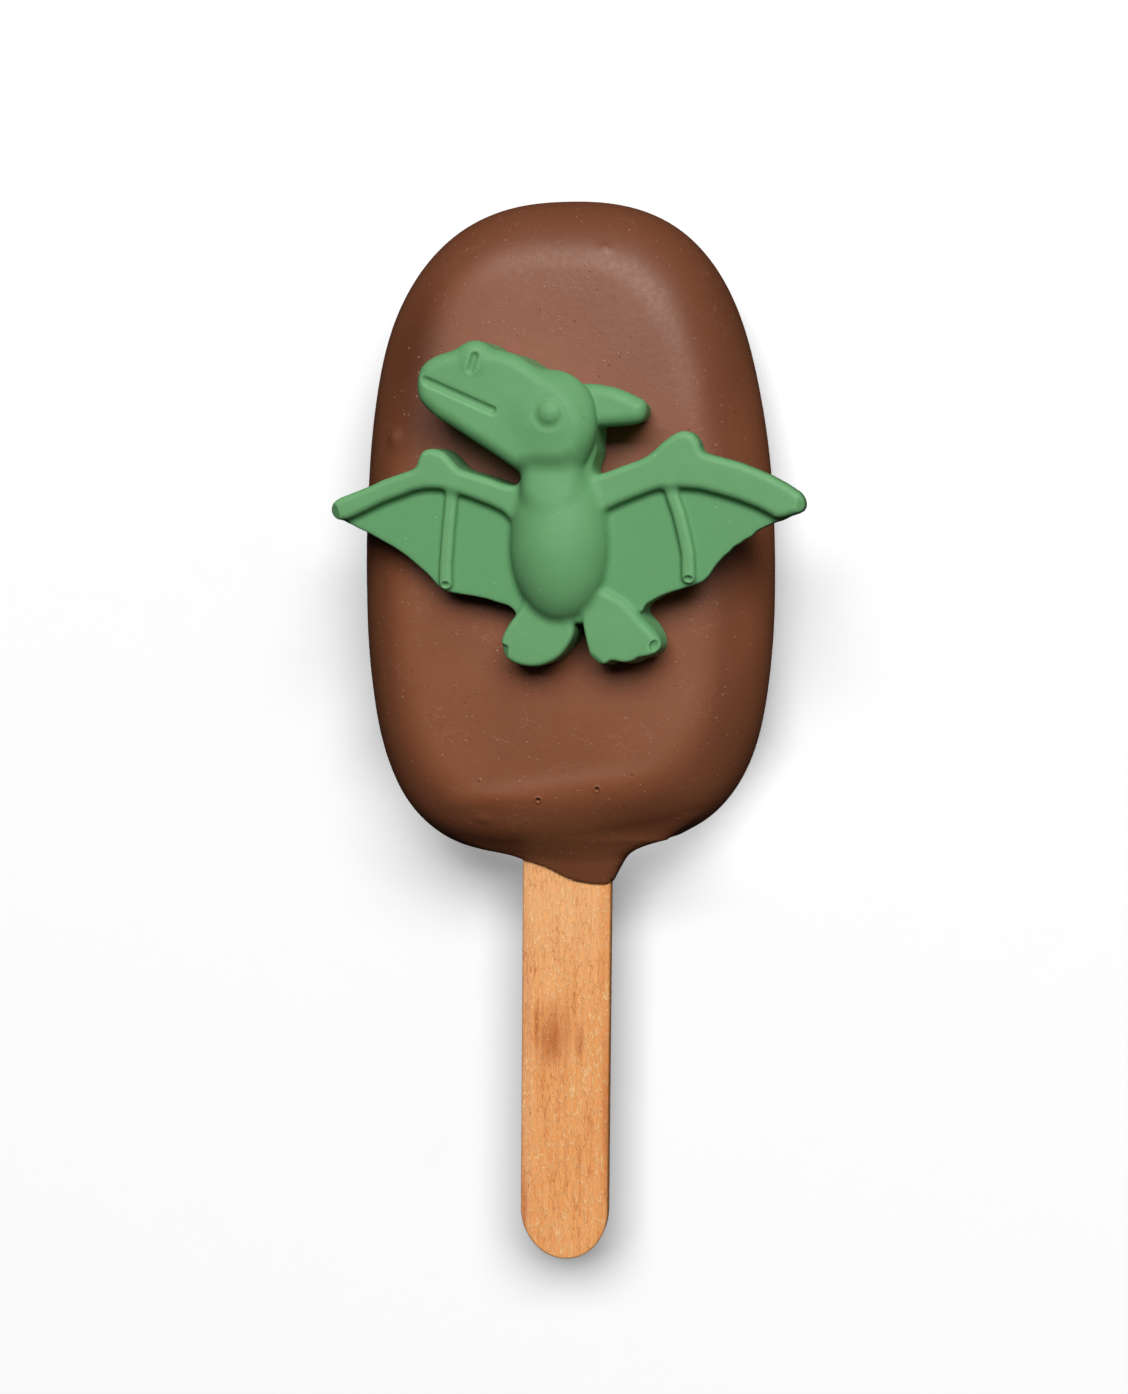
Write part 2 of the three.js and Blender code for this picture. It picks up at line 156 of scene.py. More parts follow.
class Plan:
    """Signed distance to a closed outline, kept on a fine net over its own box."""

    def __init__(self, points: Sequence[Point2], softening: float, pitch: float = 0.1,
                 margin: float = 2.5) -> None:
        """Work the net out.

        Args:
            points: Corners of the outline, in order round it.
            softening: How far along the outline its corners are evened out.
            pitch: Width of a mesh of the net.
            margin: How far the net reaches past the outline.
        """
        loop = self._even(np.array(points, float), softening)
        self.pitch = pitch
        self.low = loop.min(axis=0) - margin
        self.size = np.ceil((loop.max(axis=0) + margin - self.low) / pitch).astype(int) + 1
        x = self.low[0] + pitch * np.arange(self.size[0])[:, None]
        y = self.low[1] + pitch * np.arange(self.size[1])[None, :]
        self.net = self._distance(x, y, loop)

    @staticmethod
    def _even(points: Array, softening: float, spacing: float = 0.2) -> Array:
        """Space the outline evenly and run a bell-shaped mean along it.

        Args:
            points: Corners of the outline.
            softening: Width of the bell.
            spacing: Length of each step round the outline.

        Returns:
            The softened outline as an array of points.
        """
        closed = np.vstack([points, points[:1]])
        run = np.concatenate([[0], np.cumsum(np.hypot(*np.diff(closed, axis=0).T))])
        count = int(run[-1] / spacing)
        along = np.linspace(0, run[-1], count, endpoint=False)
        loop = np.stack([np.interp(along, run, closed[:, k]) for k in (0, 1)], axis=1)
        reach = int(3 * softening / spacing) + 1
        offsets = np.arange(-reach, reach + 1)
        bell = np.exp(-0.5 * (offsets * spacing / softening) ** 2)
        turned = [weight * np.roll(loop, k, axis=0) for k, weight in zip(offsets, bell)]
        return np.sum(turned, axis=0) / bell.sum()

    @staticmethod
    def _distance(x: Array, y: Array, loop: Array) -> Array:
        """Least distance to the sides of the outline, negative where a ray crosses it oddly.

        Args:
            x: Coordinates across the net, as a column.
            y: Coordinates along it, as a row.
            loop: Points of the outline.

        Returns:
            The signed distances over the net.
        """
        best = np.full((x.size, y.size), np.inf)
        within = np.zeros(best.shape, bool)
        for (ax, ay), (bx, by) in zip(loop, np.roll(loop, -1, axis=0)):
            ex, ey = bx - ax, by - ay
            px, py = x - ax, y - ay
            share = np.clip((px * ex + py * ey) / (ex ** 2 + ey ** 2), 0, 1)
            best = np.minimum(best, (px - share * ex) ** 2 + (py - share * ey) ** 2)
            if ay != by:
                within ^= ((ay <= y) != (by <= y)) & (px < py * ex / ey)
        return np.where(within, -1.0, 1.0) * np.sqrt(best)

    def at(self, x: Array, y: Array) -> Array:
        """Read the net between its knots, and add the way to it from outside.

        Args:
            x: Coordinates across.
            y: Coordinates along.

        Returns:
            Signed distances to the outline.
        """
        u = (x - self.low[0]) / self.pitch + 0 * y
        v = (y - self.low[1]) / self.pitch + 0 * x
        cu = np.clip(u, 0, self.size[0] - 1.001)
        cv = np.clip(v, 0, self.size[1] - 1.001)
        i, j = cu.astype(int), cv.astype(int)
        s, t = cu - i, cv - j
        low = self.net[i, j] * (1 - s) + self.net[i + 1, j] * s
        high = self.net[i, j + 1] * (1 - s) + self.net[i + 1, j + 1] * s
        return low * (1 - t) + high * t + self.pitch * np.hypot(u - cu, v - cv)


def settle(form: Field, points: Array, step: float, rounds: int = 3, probe: float = 0.02,
           least: float = 0.05) -> Array:
    """Move points along the slope of a field until its value there is zero.

    Args:
        form: The field, negative inside.
        points: Points near its skin.
        step: Longest move in one round.
        rounds: How often the points are moved.
        probe: How far from a point its slope is read.
        least: Least square of a slope that is divided by.

    Returns:
        The points on the skin.
    """
    for _ in range(rounds):
        slope = np.stack([(form(*(points + side).T) - form(*(points - side).T)) / (2 * probe)
                          for side in np.eye(3) * probe], axis=1)
        share = form(*points.T) / np.maximum((slope ** 2).sum(axis=1), least)
        move = -share[:, None] * slope
        length = np.linalg.norm(move, axis=1, keepdims=True)
        points = points + move * np.minimum(1, step / np.maximum(length, TINY))
    return points


def skin(form: Field, low: Point3, high: Point3, step: float) -> tuple[Array, Array]:
    """Wrap the zero level of a field in four-sided faces.

    The field is worked out over a lattice. A lattice cell that the level crosses gets one
    vertex, at the mean of the crossings on its edges, a lattice edge that it crosses gets one
    face between its four cells, and the vertices are then settled on the level itself.

    Args:
        form: The field, negative inside.
        low: Lowest corner of the lattice, outside the form.
        high: Highest corner.
        step: Width of a lattice cell.

    Returns:
        The vertices and the faces, which look outwards.
    """
    axes = [np.arange(a, b + step, step) for a, b in zip(low, high)]
    shape = tuple(len(axis) for axis in axes)
    level = np.broadcast_to(form(*np.ix_(*axes)), shape)
    inside = level < 0
    rings, spots = [], []
    for axis in range(3):
        b, c = (axis + 1) % 3, (axis + 2) % 3
        near = tuple(slice(0, -1) if k == axis else slice(None) for k in range(3))
        far = tuple(slice(1, None) if k == axis else slice(None) for k in range(3))
        crossed = inside[near] != inside[far]
        at = np.argwhere(crossed)
        start, end = level[near][crossed], level[far][crossed]
        spot = at.astype(float)
        spot[:, axis] += start / (start - end)
        corner = []
        for db, dc in ((-1, -1), (0, -1), (0, 0), (-1, 0)):
            cell = at.copy()
            cell[:, b] += db
            cell[:, c] += dc
            corner.append(np.ravel_multi_index(cell.T, shape))
        ring = np.stack(corner, axis=1)
        rings.append(np.where((start < 0)[:, None], ring, ring[:, ::-1]))
        spots.append(np.repeat(spot, 4, axis=0))
    owner = np.concatenate(rings).ravel()
    place = np.concatenate(spots)
    _, index = np.unique(owner, return_inverse=True)
    index = index.ravel()
    count = np.bincount(index)
    points = np.stack([np.bincount(index, place[:, k]) / count for k in range(3)], axis=1)
    return settle(form, np.array(low) + step * points, step), index.reshape(-1, 4)


def make_piece(name: str, points: Array, faces: Array, finish: bpy.types.Material,
               **marks: Array) -> bpy.types.Object:
    """Put a skin in millimetres into a Blender mesh in metres.

    Args:
        name: Name of the piece.
        points: Its vertices.
        faces: Its four-sided faces.
        finish: Its material.
        marks: Numbers kept at the vertices, by attribute name.

    Returns:
        The new object, at the origin.
    """
    mesh = bpy.data.meshes.new(name)
    mesh.vertices.add(len(points))
    mesh.vertices.foreach_set("co", (points * MM).astype(np.float32).ravel())
    mesh.loops.add(faces.size)
    mesh.loops.foreach_set("vertex_index", faces.astype(np.int32).ravel())
    mesh.polygons.add(len(faces))
    mesh.polygons.foreach_set("loop_start", np.arange(0, faces.size, 4, dtype=np.int32))
    mesh.update(calc_edges=True)
    mesh.validate()
    mesh.shade_smooth()
    mesh.materials.append(finish)
    for label, values in marks.items():
        mark = mesh.attributes.new(label, "FLOAT", "POINT")
        mark.data.foreach_set("value", values.astype(np.float32))
    piece = bpy.data.objects.new(name, mesh)
    bpy.context.scene.collection.objects.link(piece)
    return piece


# ------------------------------------------------------------------ materials

class Board:
    """A node tree that is laid out by short calls."""

    def __init__(self, tree: bpy.types.NodeTree) -> None:
        """Keep the tree that the nodes go on."""
        self.tree = tree

    def feed(self, value: object, socket: Socket) -> None:
        """Link a socket into another, or set its value.

        Args:
            value: A socket to link from, or a number, vector or colour.
            socket: The input that takes it.
        """
        if isinstance(value, Socket):
            self.tree.links.new(value, socket)
        else:
            socket.default_value = value

    def put(self, kind: str, inputs: dict | None = None, **settings: object) -> bpy.types.Node:
        """Add a node.

        Args:
            kind: The node's type.
            inputs: What goes into its sockets, by name or number.
            settings: Its properties.

        Returns:
            The node.
        """
        node = self.tree.nodes.new(kind)
        for name, value in settings.items():
            setattr(node, name, value)
        for key, value in (inputs or {}).items():
            self.feed(value, node.inputs[key])
        return node

    def math(self, operation: str, *values: object, clamp: bool = False) -> Socket:
        """Add a Math node and give its result."""
        return self.put("ShaderNodeMath", dict(enumerate(values)), operation=operation,
                        use_clamp=clamp).outputs[0]

    def vector(self, operation: str, *values: object) -> Socket:
        """Add a Vector Math node and give its vector, or its number for a length."""
        node = self.put("ShaderNodeVectorMath", dict(enumerate(values)), operation=operation)
        return node.outputs[1 if operation == "LENGTH" else 0]

    def fade(self, value: Socket, start: float, end: float, low: float = 0.0,
             high: float = 1.0) -> Socket:
        """Ease a value from low to high as it goes from start to end."""
        return self.put("ShaderNodeMapRange", {0: value, 1: start, 2: end, 3: low, 4: high},
                        interpolation_type="SMOOTHSTEP").outputs[0]

    def mix(self, share: object, first: object, second: object) -> Socket:
        """Mix two colours by a share."""
        return self.put("ShaderNodeMix", {0: share, 6: first, 7: second},
                        data_type="RGBA").outputs[2]


class Kind(Enum):
    """Sorts of socket on a shared effect."""

    NUMBER = "NodeSocketFloat"
    VECTOR = "NodeSocketVector"


def open_effect(name: str, vectors: Sequence[str], numbers: Sequence[str]) -> tuple:
    """Start a shared effect that puts out one mask from 0 to 1.

    Args:
        name: Its name.
        vectors: Names of the inputs that are vectors.
        numbers: Names of the inputs that are numbers.

    Returns:
        The tree, its board, its inputs by name and the socket that takes the mask.
    """
    tree = bpy.data.node_groups.new(name, "ShaderNodeTree")
    for labels, kind in ((vectors, Kind.VECTOR), (numbers, Kind.NUMBER)):
        for label in labels:
            tree.interface.new_socket(name=label, in_out="INPUT", socket_type=kind.value)
    tree.interface.new_socket(name="Mask", in_out="OUTPUT", socket_type=Kind.NUMBER.value)
    board = Board(tree)
    given = board.put("NodeGroupInput").outputs
    return tree, board, given, board.put("NodeGroupOutput").inputs["Mask"]


class Effects:
    """The effects that more than one finish uses, each built once."""

    def __init__(self) -> None:
        """Build all of them."""
        self.mottle = self._mottle()
        self.specks = self._specks()
        self.spot = self._spot()
        self.veins = self._veins()

    @staticmethod
    def _mottle() -> bpy.types.NodeTree:
        """Soft uneven patches: layered noise over stretched coordinates, eased to 0 to 1."""
        tree, board, given, mask = open_effect("soft_mottle", ("Place", "Stretch"),
                                               ("Detail", "Contrast"))
        place = board.vector("MULTIPLY", given["Place"], given["Stretch"])
        noise = board.put("ShaderNodeTexNoise",
                          {"Vector": place, "Scale": 1.0, "Detail": given["Detail"]})
        swing = board.math("SUBTRACT", noise.outputs["Fac"], 0.5)
        board.feed(board.math("MULTIPLY_ADD", swing, given["Contrast"], 0.5, clamp=True), mask)
        return tree

    @staticmethod
    def _specks() -> bpy.types.NodeTree:
        """Scattered dots: discs round the seeds of a random share of cells."""
        tree, board, given, mask = open_effect("fine_specks", ("Place", "Stretch"),
                                               ("Size", "Share"))
        place = board.vector("MULTIPLY", given["Place"], given["Stretch"])
        cells = board.put("ShaderNodeTexVoronoi", {"Vector": place, "Scale": 1.0})
        split = board.put("ShaderNodeSeparateColor", {0: cells.outputs["Color"]})
        chosen = board.math("LESS_THAN", split.outputs[0], given["Share"])
        own = board.math("MULTIPLY_ADD", split.outputs[1], 0.7, 0.3)
        size = board.math("MULTIPLY", given["Size"], own)
        disc = board.fade(board.math("DIVIDE", cells.outputs["Distance"], size), 1.0, 0.5)
        board.feed(board.math("MULTIPLY", disc, chosen), mask)
        return tree

    @staticmethod
    def _spot() -> bpy.types.NodeTree:
        """A soft spot: 1 at its centre, easing to 0 where the stretched distance is 1."""
        tree, board, given, mask = open_effect("soft_spot", ("Place", "Centre", "Reach"), ())
        offset = board.vector("SUBTRACT", given["Place"], given["Centre"])
        share = board.vector("LENGTH", board.vector("DIVIDE", offset, given["Reach"]))
        board.feed(board.fade(share, 1.0, 0.0), mask)
        return tree

    @staticmethod
    def _veins() -> bpy.types.NodeTree:
        """Thin wandering lines: the borders between cells whose place is pushed by noise."""
        tree, board, given, mask = open_effect("thin_veins", ("Place", "Stretch"),
                                               ("Wander", "Width"))
        place = board.vector("MULTIPLY", given["Place"], given["Stretch"])
        noise = board.put("ShaderNodeTexNoise", {"Vector": place, "Scale": 1.4, "Detail": 3.0})
        swing = board.vector("SUBTRACT", noise.outputs["Color"], (0.5, 0.5, 0.5))
        push = board.put("ShaderNodeVectorMath", {0: swing, "Scale": given["Wander"]},
                         operation="SCALE").outputs[0]
        cells = board.put("ShaderNodeTexVoronoi",
                          {"Vector": board.vector("ADD", place, push), "Scale": 1.0},
                          feature="DISTANCE_TO_EDGE")
        depth = board.math("DIVIDE", cells.outputs["Distance"], given["Width"])
        board.feed(board.fade(depth, 1.0, 0.3), mask)
        return tree


class Coating(Board):
    """The board of one material, with its place in millimetres and its colour so far."""

    def __init__(self, name: str, effects: Effects, colour: Colour) -> None:
        """Start a material.

        Args:
            name: Its name.
            effects: The shared effects.
            colour: Its ground colour.
        """
        self.material = bpy.data.materials.new(name)
        self.material.use_nodes = True
        self.material.node_tree.nodes.clear()
        super().__init__(self.material.node_tree)
        self.effects = effects
        self.colour = colour
        shader = self.put("ShaderNodeBsdfPrincipled")
        self.put("ShaderNodeOutputMaterial", {"Surface": shader.outputs[0]})
        self.shader = shader.inputs
        place = self.put("ShaderNodeTexCoord").outputs["Object"]
        self.place = self.put("ShaderNodeMapping",
                              {"Vector": place, "Scale": (1 / MM,) * 3}).outputs[0]
        self.axes = self.put("ShaderNodeSeparateXYZ", {0: self.place}).outputs

    def mask(self, tree: bpy.types.NodeTree, stretch: float | Point3, **values: object) -> Socket:
        """Place a shared effect and give its mask.

        Args:
            tree: The effect.
            stretch: How its coordinates are stretched, on all axes or by axis.
            values: Its other inputs.

        Returns:
            The mask.
        """
        stretch = stretch if isinstance(stretch, tuple) else (stretch,) * 3
        return self.put("ShaderNodeGroup", {"Place": self.place, "Stretch": stretch, **values},
                        node_tree=tree).outputs[0]

    def spot(self, centre: Point3, reach: Point3) -> Socket:
        """Place one soft spot."""
        return self.put("ShaderNodeGroup", {"Place": self.place, "Centre": centre, "Reach": reach},
                        node_tree=self.effects.spot).outputs[0]

    def tint(self, mask: Socket, tone: Colour, share: float = 1.0) -> None:
        """Mix a tone into the colour.

        Args:
            mask: Where it shows.
            tone: The colour that is mixed in.
            share: How much of it shows where the mask is 1.
        """
        self.colour = self.mix(self.math("MULTIPLY", mask, share), self.colour, tone)

    def close(self, grain: Socket, roughness: Point2, *relief: tuple[Socket, float],
              specular: float) -> bpy.types.Material:
        """Feed colour, roughness and relief into the shader.

        Args:
            grain: The mask that makes the roughness uneven.
            roughness: Its lowest and highest value.
            relief: Masks, and how high each stands in millimetres.
            specular: Strength of the reflection.

        Returns:
            The material.
        """
        self.feed(self.colour, self.shader["Base Color"])
        self.feed(self.fade(grain, 0.0, 1.0, *roughness), self.shader["Roughness"])
        self.feed(specular, self.shader["Specular IOR Level"])
        height = 0.0
        for mask, stand in relief:
            height = self.math("MULTIPLY_ADD", mask, stand, height)
        bump = self.put("ShaderNodeBump", {"Height": height, "Distance": MM, "Strength": 1.0})
        self.feed(bump.outputs[0], self.shader["Normal"])
        return self.material


def srgb(red: float, green: float, blue: float) -> Colour:
    """Turn a colour as seen, 0 to 255, into linear light."""
    parts = [part / 255 for part in (red, green, blue)]
    light = [p / 12.92 if p <= 0.04045 else ((p + 0.055) / 1.055) ** 2.4 for p in parts]
    return (*light, 1.0)


@dataclass(frozen=True)
class ChocolateFinish:
    """Satin milk chocolate with fine specks, pits, stains, a few scratches, painted shade and
    painted light.
    """

    body: Colour = srgb(133, 78, 49)
    deep: Colour = srgb(125, 71, 43)
    # The colour of the painted shade on the sides and shoulders, below the crown.
    painted_side_shade: Colour = srgb(113, 66, 42)
    # The colour of the painted shade in spots, and of the pits.
    painted_shade_and_pit: Colour = srgb(88, 45, 24)
    # The colour of the painted light in spots.
    glow: Colour = srgb(150, 90, 58)
    stain: Colour = srgb(146, 76, 62)
    pale: Colour = srgb(176, 132, 112)
    painted_side_shade_levels: Point2 = (18.3, 20.0)
    roughness: Point2 = (0.43, 0.55)
    specular: float = 0.4
    pit_mouth: tuple[float, float] = (0.7, 0.12)
    pit_depth: tuple[float, float] = (0.35, -0.4)

    def build(self, effects: Effects) -> bpy.types.Material:
        """Lay out the nodes.

        Args:
            effects: The shared effects.

        Returns:
            The material.
        """
        coat = Coating("milk_chocolate", effects, self.deep)
        coat.tint(coat.mask(effects.mottle, 0.11, Detail=3.0, Contrast=2.2), self.body)
        # Painted shade: the colour darkens below the crown, over the shoulders and sides.
        coat.tint(coat.fade(coat.axes[2], *self.painted_side_shade_levels, 1.0, 0.0), self.painted_side_shade)
        # Spots of painted shade and of painted light, then real stains.
        for tone, spots in ((self.painted_shade_and_pit, PAINTED_SHADES), (self.glow, PAINTED_LIGHTS), (self.stain, STAINS)):
            for centre, reach, share in spots:
                coat.tint(coat.spot(centre, reach), tone, share)
        flecks = coat.mask(effects.specks, 1.1, Size=0.22, Share=0.6)
        coat.tint(flecks, self.pale, 0.35)
        shown = coat.fade(coat.mask(effects.mottle, 0.2, Detail=2.0, Contrast=5.0), 0.55, 1.0)
        scratches = coat.mask(effects.veins, 0.35, Wander=1.2, Width=0.02)
        scuffs = coat.math("MULTIPLY", scratches, shown)
        coat.tint(scuffs, self.pale, 0.12)
        pits = coat.mask(effects.specks, 0.8, Size=0.16, Share=0.5)
        coat.tint(pits, self.painted_shade_and_pit, 0.5)
        grain = coat.mask(effects.mottle, 1.6, Detail=4.0, Contrast=1.6)
        placed = [(coat.spot(centre, (reach,) * 3), stand) for centre in PITS
                  for reach, stand in (self.pit_mouth, self.pit_depth)]
        return coat.close(grain, self.roughness, (grain, 0.012), (pits, -0.03), (flecks, 0.03),
                          (scuffs, 0.008), *placed, specular=self.specular)


# Painted shade: spots darkened left of the head, right of the crown's top and in the gap between
# the feet.
PAINTED_SHADES: tuple[Tone, ...] = (
    ((-15.5, 19.0, 19.2), (6.5, 16.0, 5.0), 1.0),
    ((10.0, 21.0, 19.8), (9.0, 10.0, 3.0), 0.25),
    ((4.3, -10.8, 20.3), (3.2, 4.6, 3.0), 0.8),
)

# Painted light: spots lightened below the ridge at the stick end, down the right side and at both
# low corners.
PAINTED_LIGHTS: tuple[Tone, ...] = (
    ((-1.0, -33.0, 17.5), (24.0, 5.0, 5.0), 0.7),
    ((23.5, -4.0, 11.0), (8.0, 46.0, 12.0), 0.9),
    ((17.0, -29.0, 12.0), (9.0, 9.0, 9.0), 0.7),
    ((-17.0, -30.0, 12.0), (9.0, 9.0, 9.0), 0.35),
)

STAINS: tuple[Tone, ...] = (
    ((-4.0, 20.7, 19.9), (1.2, 1.2, 4.0), 0.4),
    ((4.2, 17.5, 20.0), (1.5, 1.5, 4.0), 0.35),
    ((6.5, 9.7, 20.2), (2.2, 2.2, 4.0), 0.4),
    ((9.9, 8.9, 20.1), (1.6, 1.6, 4.0), 0.35),
    ((-7.5, 6.4, 20.3), (1.8, 1.8, 4.0), 0.3),
)

PITS: tuple[Point3, ...] = (
    (-1.5, -29.5, 19.7),
    (5.2, -28.1, 19.8),
)


@dataclass(frozen=True)
class IcingFinish:
    """Smooth green icing with a soft glow, tiny light specks, dark pores, painted highlights on its
    edges and painted shade in its creases.
    """

    body: Colour = srgb(101, 157, 104)
    shade: Colour = srgb(96, 150, 99)
    sheet: Colour = srgb(91, 149, 97)
    # The colour of the light specks and of the painted highlights on edges.
    light: Colour = srgb(150, 205, 150)
    pore: Colour = srgb(62, 112, 68)
    # The colour of the painted shade in creases.
    crease: Colour = srgb(52, 105, 62)
    brown_tip: Colour = srgb(130, 62, 40)
    brown_tip_spot: tuple[Point3, Point3] = ((12.2, 13.6, 26.6), (1.1, 2.2, 1.8))
    roughness: Point2 = (0.56, 0.66)
    specular: float = 0.35
    glow_share: float = 0.2
    glow_radius: Point3 = (0.4, 1.0, 0.4)
    glow_depth: float = 0.8

    def build(self, effects: Effects) -> bpy.types.Material:
        """Lay out the nodes.

        Args:
            effects: The shared effects.

        Returns:
            The material.
        """
        coat = Coating("green_icing", effects, self.shade)
        coat.tint(coat.mask(effects.mottle, 0.3, Detail=3.0, Contrast=1.8), self.body)
        level, bend = (coat.put("ShaderNodeAttribute", attribute_name=name).outputs["Fac"]
                       for name in ("level", "bend"))
        sheet = coat.math("MULTIPLY", coat.fade(level, 4.9, 4.4), coat.fade(level, 3.8, 4.2))
        coat.tint(sheet, self.sheet)
        # Painted highlight: the colour lightens over sharp edges.
        coat.tint(coat.fade(bend, 0.4, 3.0), self.light, 0.2)
        # Painted shade: the colour darkens in creases.
        coat.tint(coat.fade(bend, -0.3, -3.0), self.crease, 0.1)
        flecks = coat.mask(effects.specks, 0.9, Size=0.13, Share=0.4)
        pores = coat.mask(effects.specks, 0.6, Size=0.09, Share=0.2)
        coat.tint(flecks, self.light, 0.5)
        coat.tint(pores, self.pore, 0.8)
        # The crest's tip is tinted reddish brown.
        coat.tint(coat.spot(*self.brown_tip_spot), self.brown_tip, 0.8)
        grain = coat.mask(effects.mottle, 2.0, Detail=3.0, Contrast=1.5)
        coat.feed(self.glow_share, coat.shader["Subsurface Weight"])
        coat.feed(self.glow_radius, coat.shader["Subsurface Radius"])
        coat.feed(self.glow_depth * MM, coat.shader["Subsurface Scale"])
        return coat.close(grain, self.roughness, (grain, 0.006), (pores, -0.02),
                          (flecks, 0.012), specular=self.specular)


@dataclass(frozen=True)
class WoodFinish:
    """Plain birch with fine veins along the stick, a brown streak, dark pores, painted shade along
    its edges and painted glints.
    """

    body: Colour = srgb(240, 169, 102)
    deep: Colour = srgb(222, 146, 80)
    streak: Colour = srgb(178, 90, 32)
    pale: Colour = srgb(240, 190, 134)
    painted_left_edge_shade: Colour = srgb(216, 150, 100)
    roughness: Point2 = (0.54, 0.68)
    specular: float = 0.5

    def build(self, effects: Effects) -> bpy.types.Material:
        """Lay out the nodes.

        Args:
            effects: The shared effects.

        Returns:
            The material.
        """
        coat = Coating("birch_wood", effects, self.deep)
        across, along, _ = coat.axes
        grain = coat.mask(effects.mottle, (2.2, 0.1, 2.2), Detail=5.0, Contrast=2.0)
        coat.tint(grain, self.body)
        broad = coat.mask(effects.mottle, (0.4, 0.1, 0.4), Detail=3.0, Contrast=2.5)
        coat.tint(broad, self.deep, 0.3)
        coat.tint(coat.fade(along, -58.0, -42.0), self.pale, 0.3)
        # Painted shade along both edges: a darker tone on the left, the deep tone on the right.
        coat.tint(coat.fade(across, -3.6, -4.4), self.painted_left_edge_shade, 0.6)
        coat.tint(coat.fade(across, 3.7, 4.7), self.deep, 0.9)
        patchy = coat.mask(effects.mottle, (0.5, 0.15, 0.5), Detail=2.0, Contrast=3.0)
        veins = coat.mask(effects.veins, (2.2, 0.5, 2.2), Wander=1.2, Width=0.08)
        lines = coat.mask(effects.veins, (1.6, 0.3, 1.6), Wander=1.8, Width=0.06)
        for mask, tone, swing, least in ((veins, self.pale, 0.7, 0.2),
                                         (lines, self.streak, -0.5, 0.6)):
            shown = coat.math("MULTIPLY_ADD", patchy, swing, least)
            coat.tint(coat.math("MULTIPLY", mask, shown), tone)
        dry = coat.math("MULTIPLY_ADD", grain, -0.6, 1.2)
        for centre, reach, share in STREAKS:
            coat.tint(coat.math("MULTIPLY", dry, coat.spot(centre, reach)), self.streak, share)
        pores = coat.mask(effects.specks, (1.2, 0.5, 1.2), Size=0.14, Share=0.3)
        coat.tint(pores, self.streak, 0.6)
        # Painted glints: small pale specks.
        coat.tint(coat.mask(effects.specks, 0.9, Size=0.14, Share=0.3), self.pale, 0.7)
        return coat.close(grain, self.roughness, (veins, 0.03), (pores, -0.05),
                          specular=self.specular)


STREAKS: tuple[Tone, ...] = (
    ((-1.2, -58.4, 11.5), (3.6, 6.0, 3.0), 0.65),
    ((-1.5, -59.4, 11.5), (1.5, 3.6, 3.0), 0.65),
    ((1.9, -59.3, 11.5), (0.8, 4.0, 3.0), 0.6),
    ((-3.2, -57.4, 11.5), (0.6, 4.6, 3.0), 0.6),
    ((1.9, -73.0, 11.5), (0.5, 4.0, 3.0), 0.4),
    ((5.0, -68.0, 11.5), (0.6, 16.0, 3.0), 0.6),
    ((-4.8, -79.0, 11.5), (0.6, 7.0, 3.0), 0.6),
)


@dataclass(frozen=True)
class FloorFinish:
    """Plain matt white studio floor, with a painted glow, standing in for light thrown back onto
    it, where the bar shades it.
    """

    colour: Colour = srgb(247, 247, 247)
    cloud: Colour = srgb(246, 246, 246)
    painted_bounce_glow: Colour = (0.75, 0.75, 0.75, 1.0)
    painted_bounce_glow_spot: tuple[Point3, Point3] = ((1.0, -33.0, 0.0), (34.0, 14.0, 9.0))
    roughness: float = 0.9

    def build(self, effects: Effects) -> bpy.types.Material:
        """Lay out the nodes.

        Args:
            effects: The shared effects.

        Returns:
            The material.
        """
        coat = Coating("white_floor", effects, self.cloud)
        coat.tint(coat.mask(effects.mottle, 0.2, Detail=3.0, Contrast=1.0), self.colour)
        # Painted light: the floor glows in a spot around the bar's lower end.
        glow = coat.mix(coat.spot(*self.painted_bounce_glow_spot), (0, 0, 0, 1), self.painted_bounce_glow)
        for label, value in (("Base Color", coat.colour), ("Emission Color", glow),
                             ("Emission Strength", 1.0), ("Roughness", self.roughness),
                             ("Specular IOR Level", 0.0)):
            coat.feed(value, coat.shader[label])
        return coat.material


# ------------------------------------------------------------------ the bar

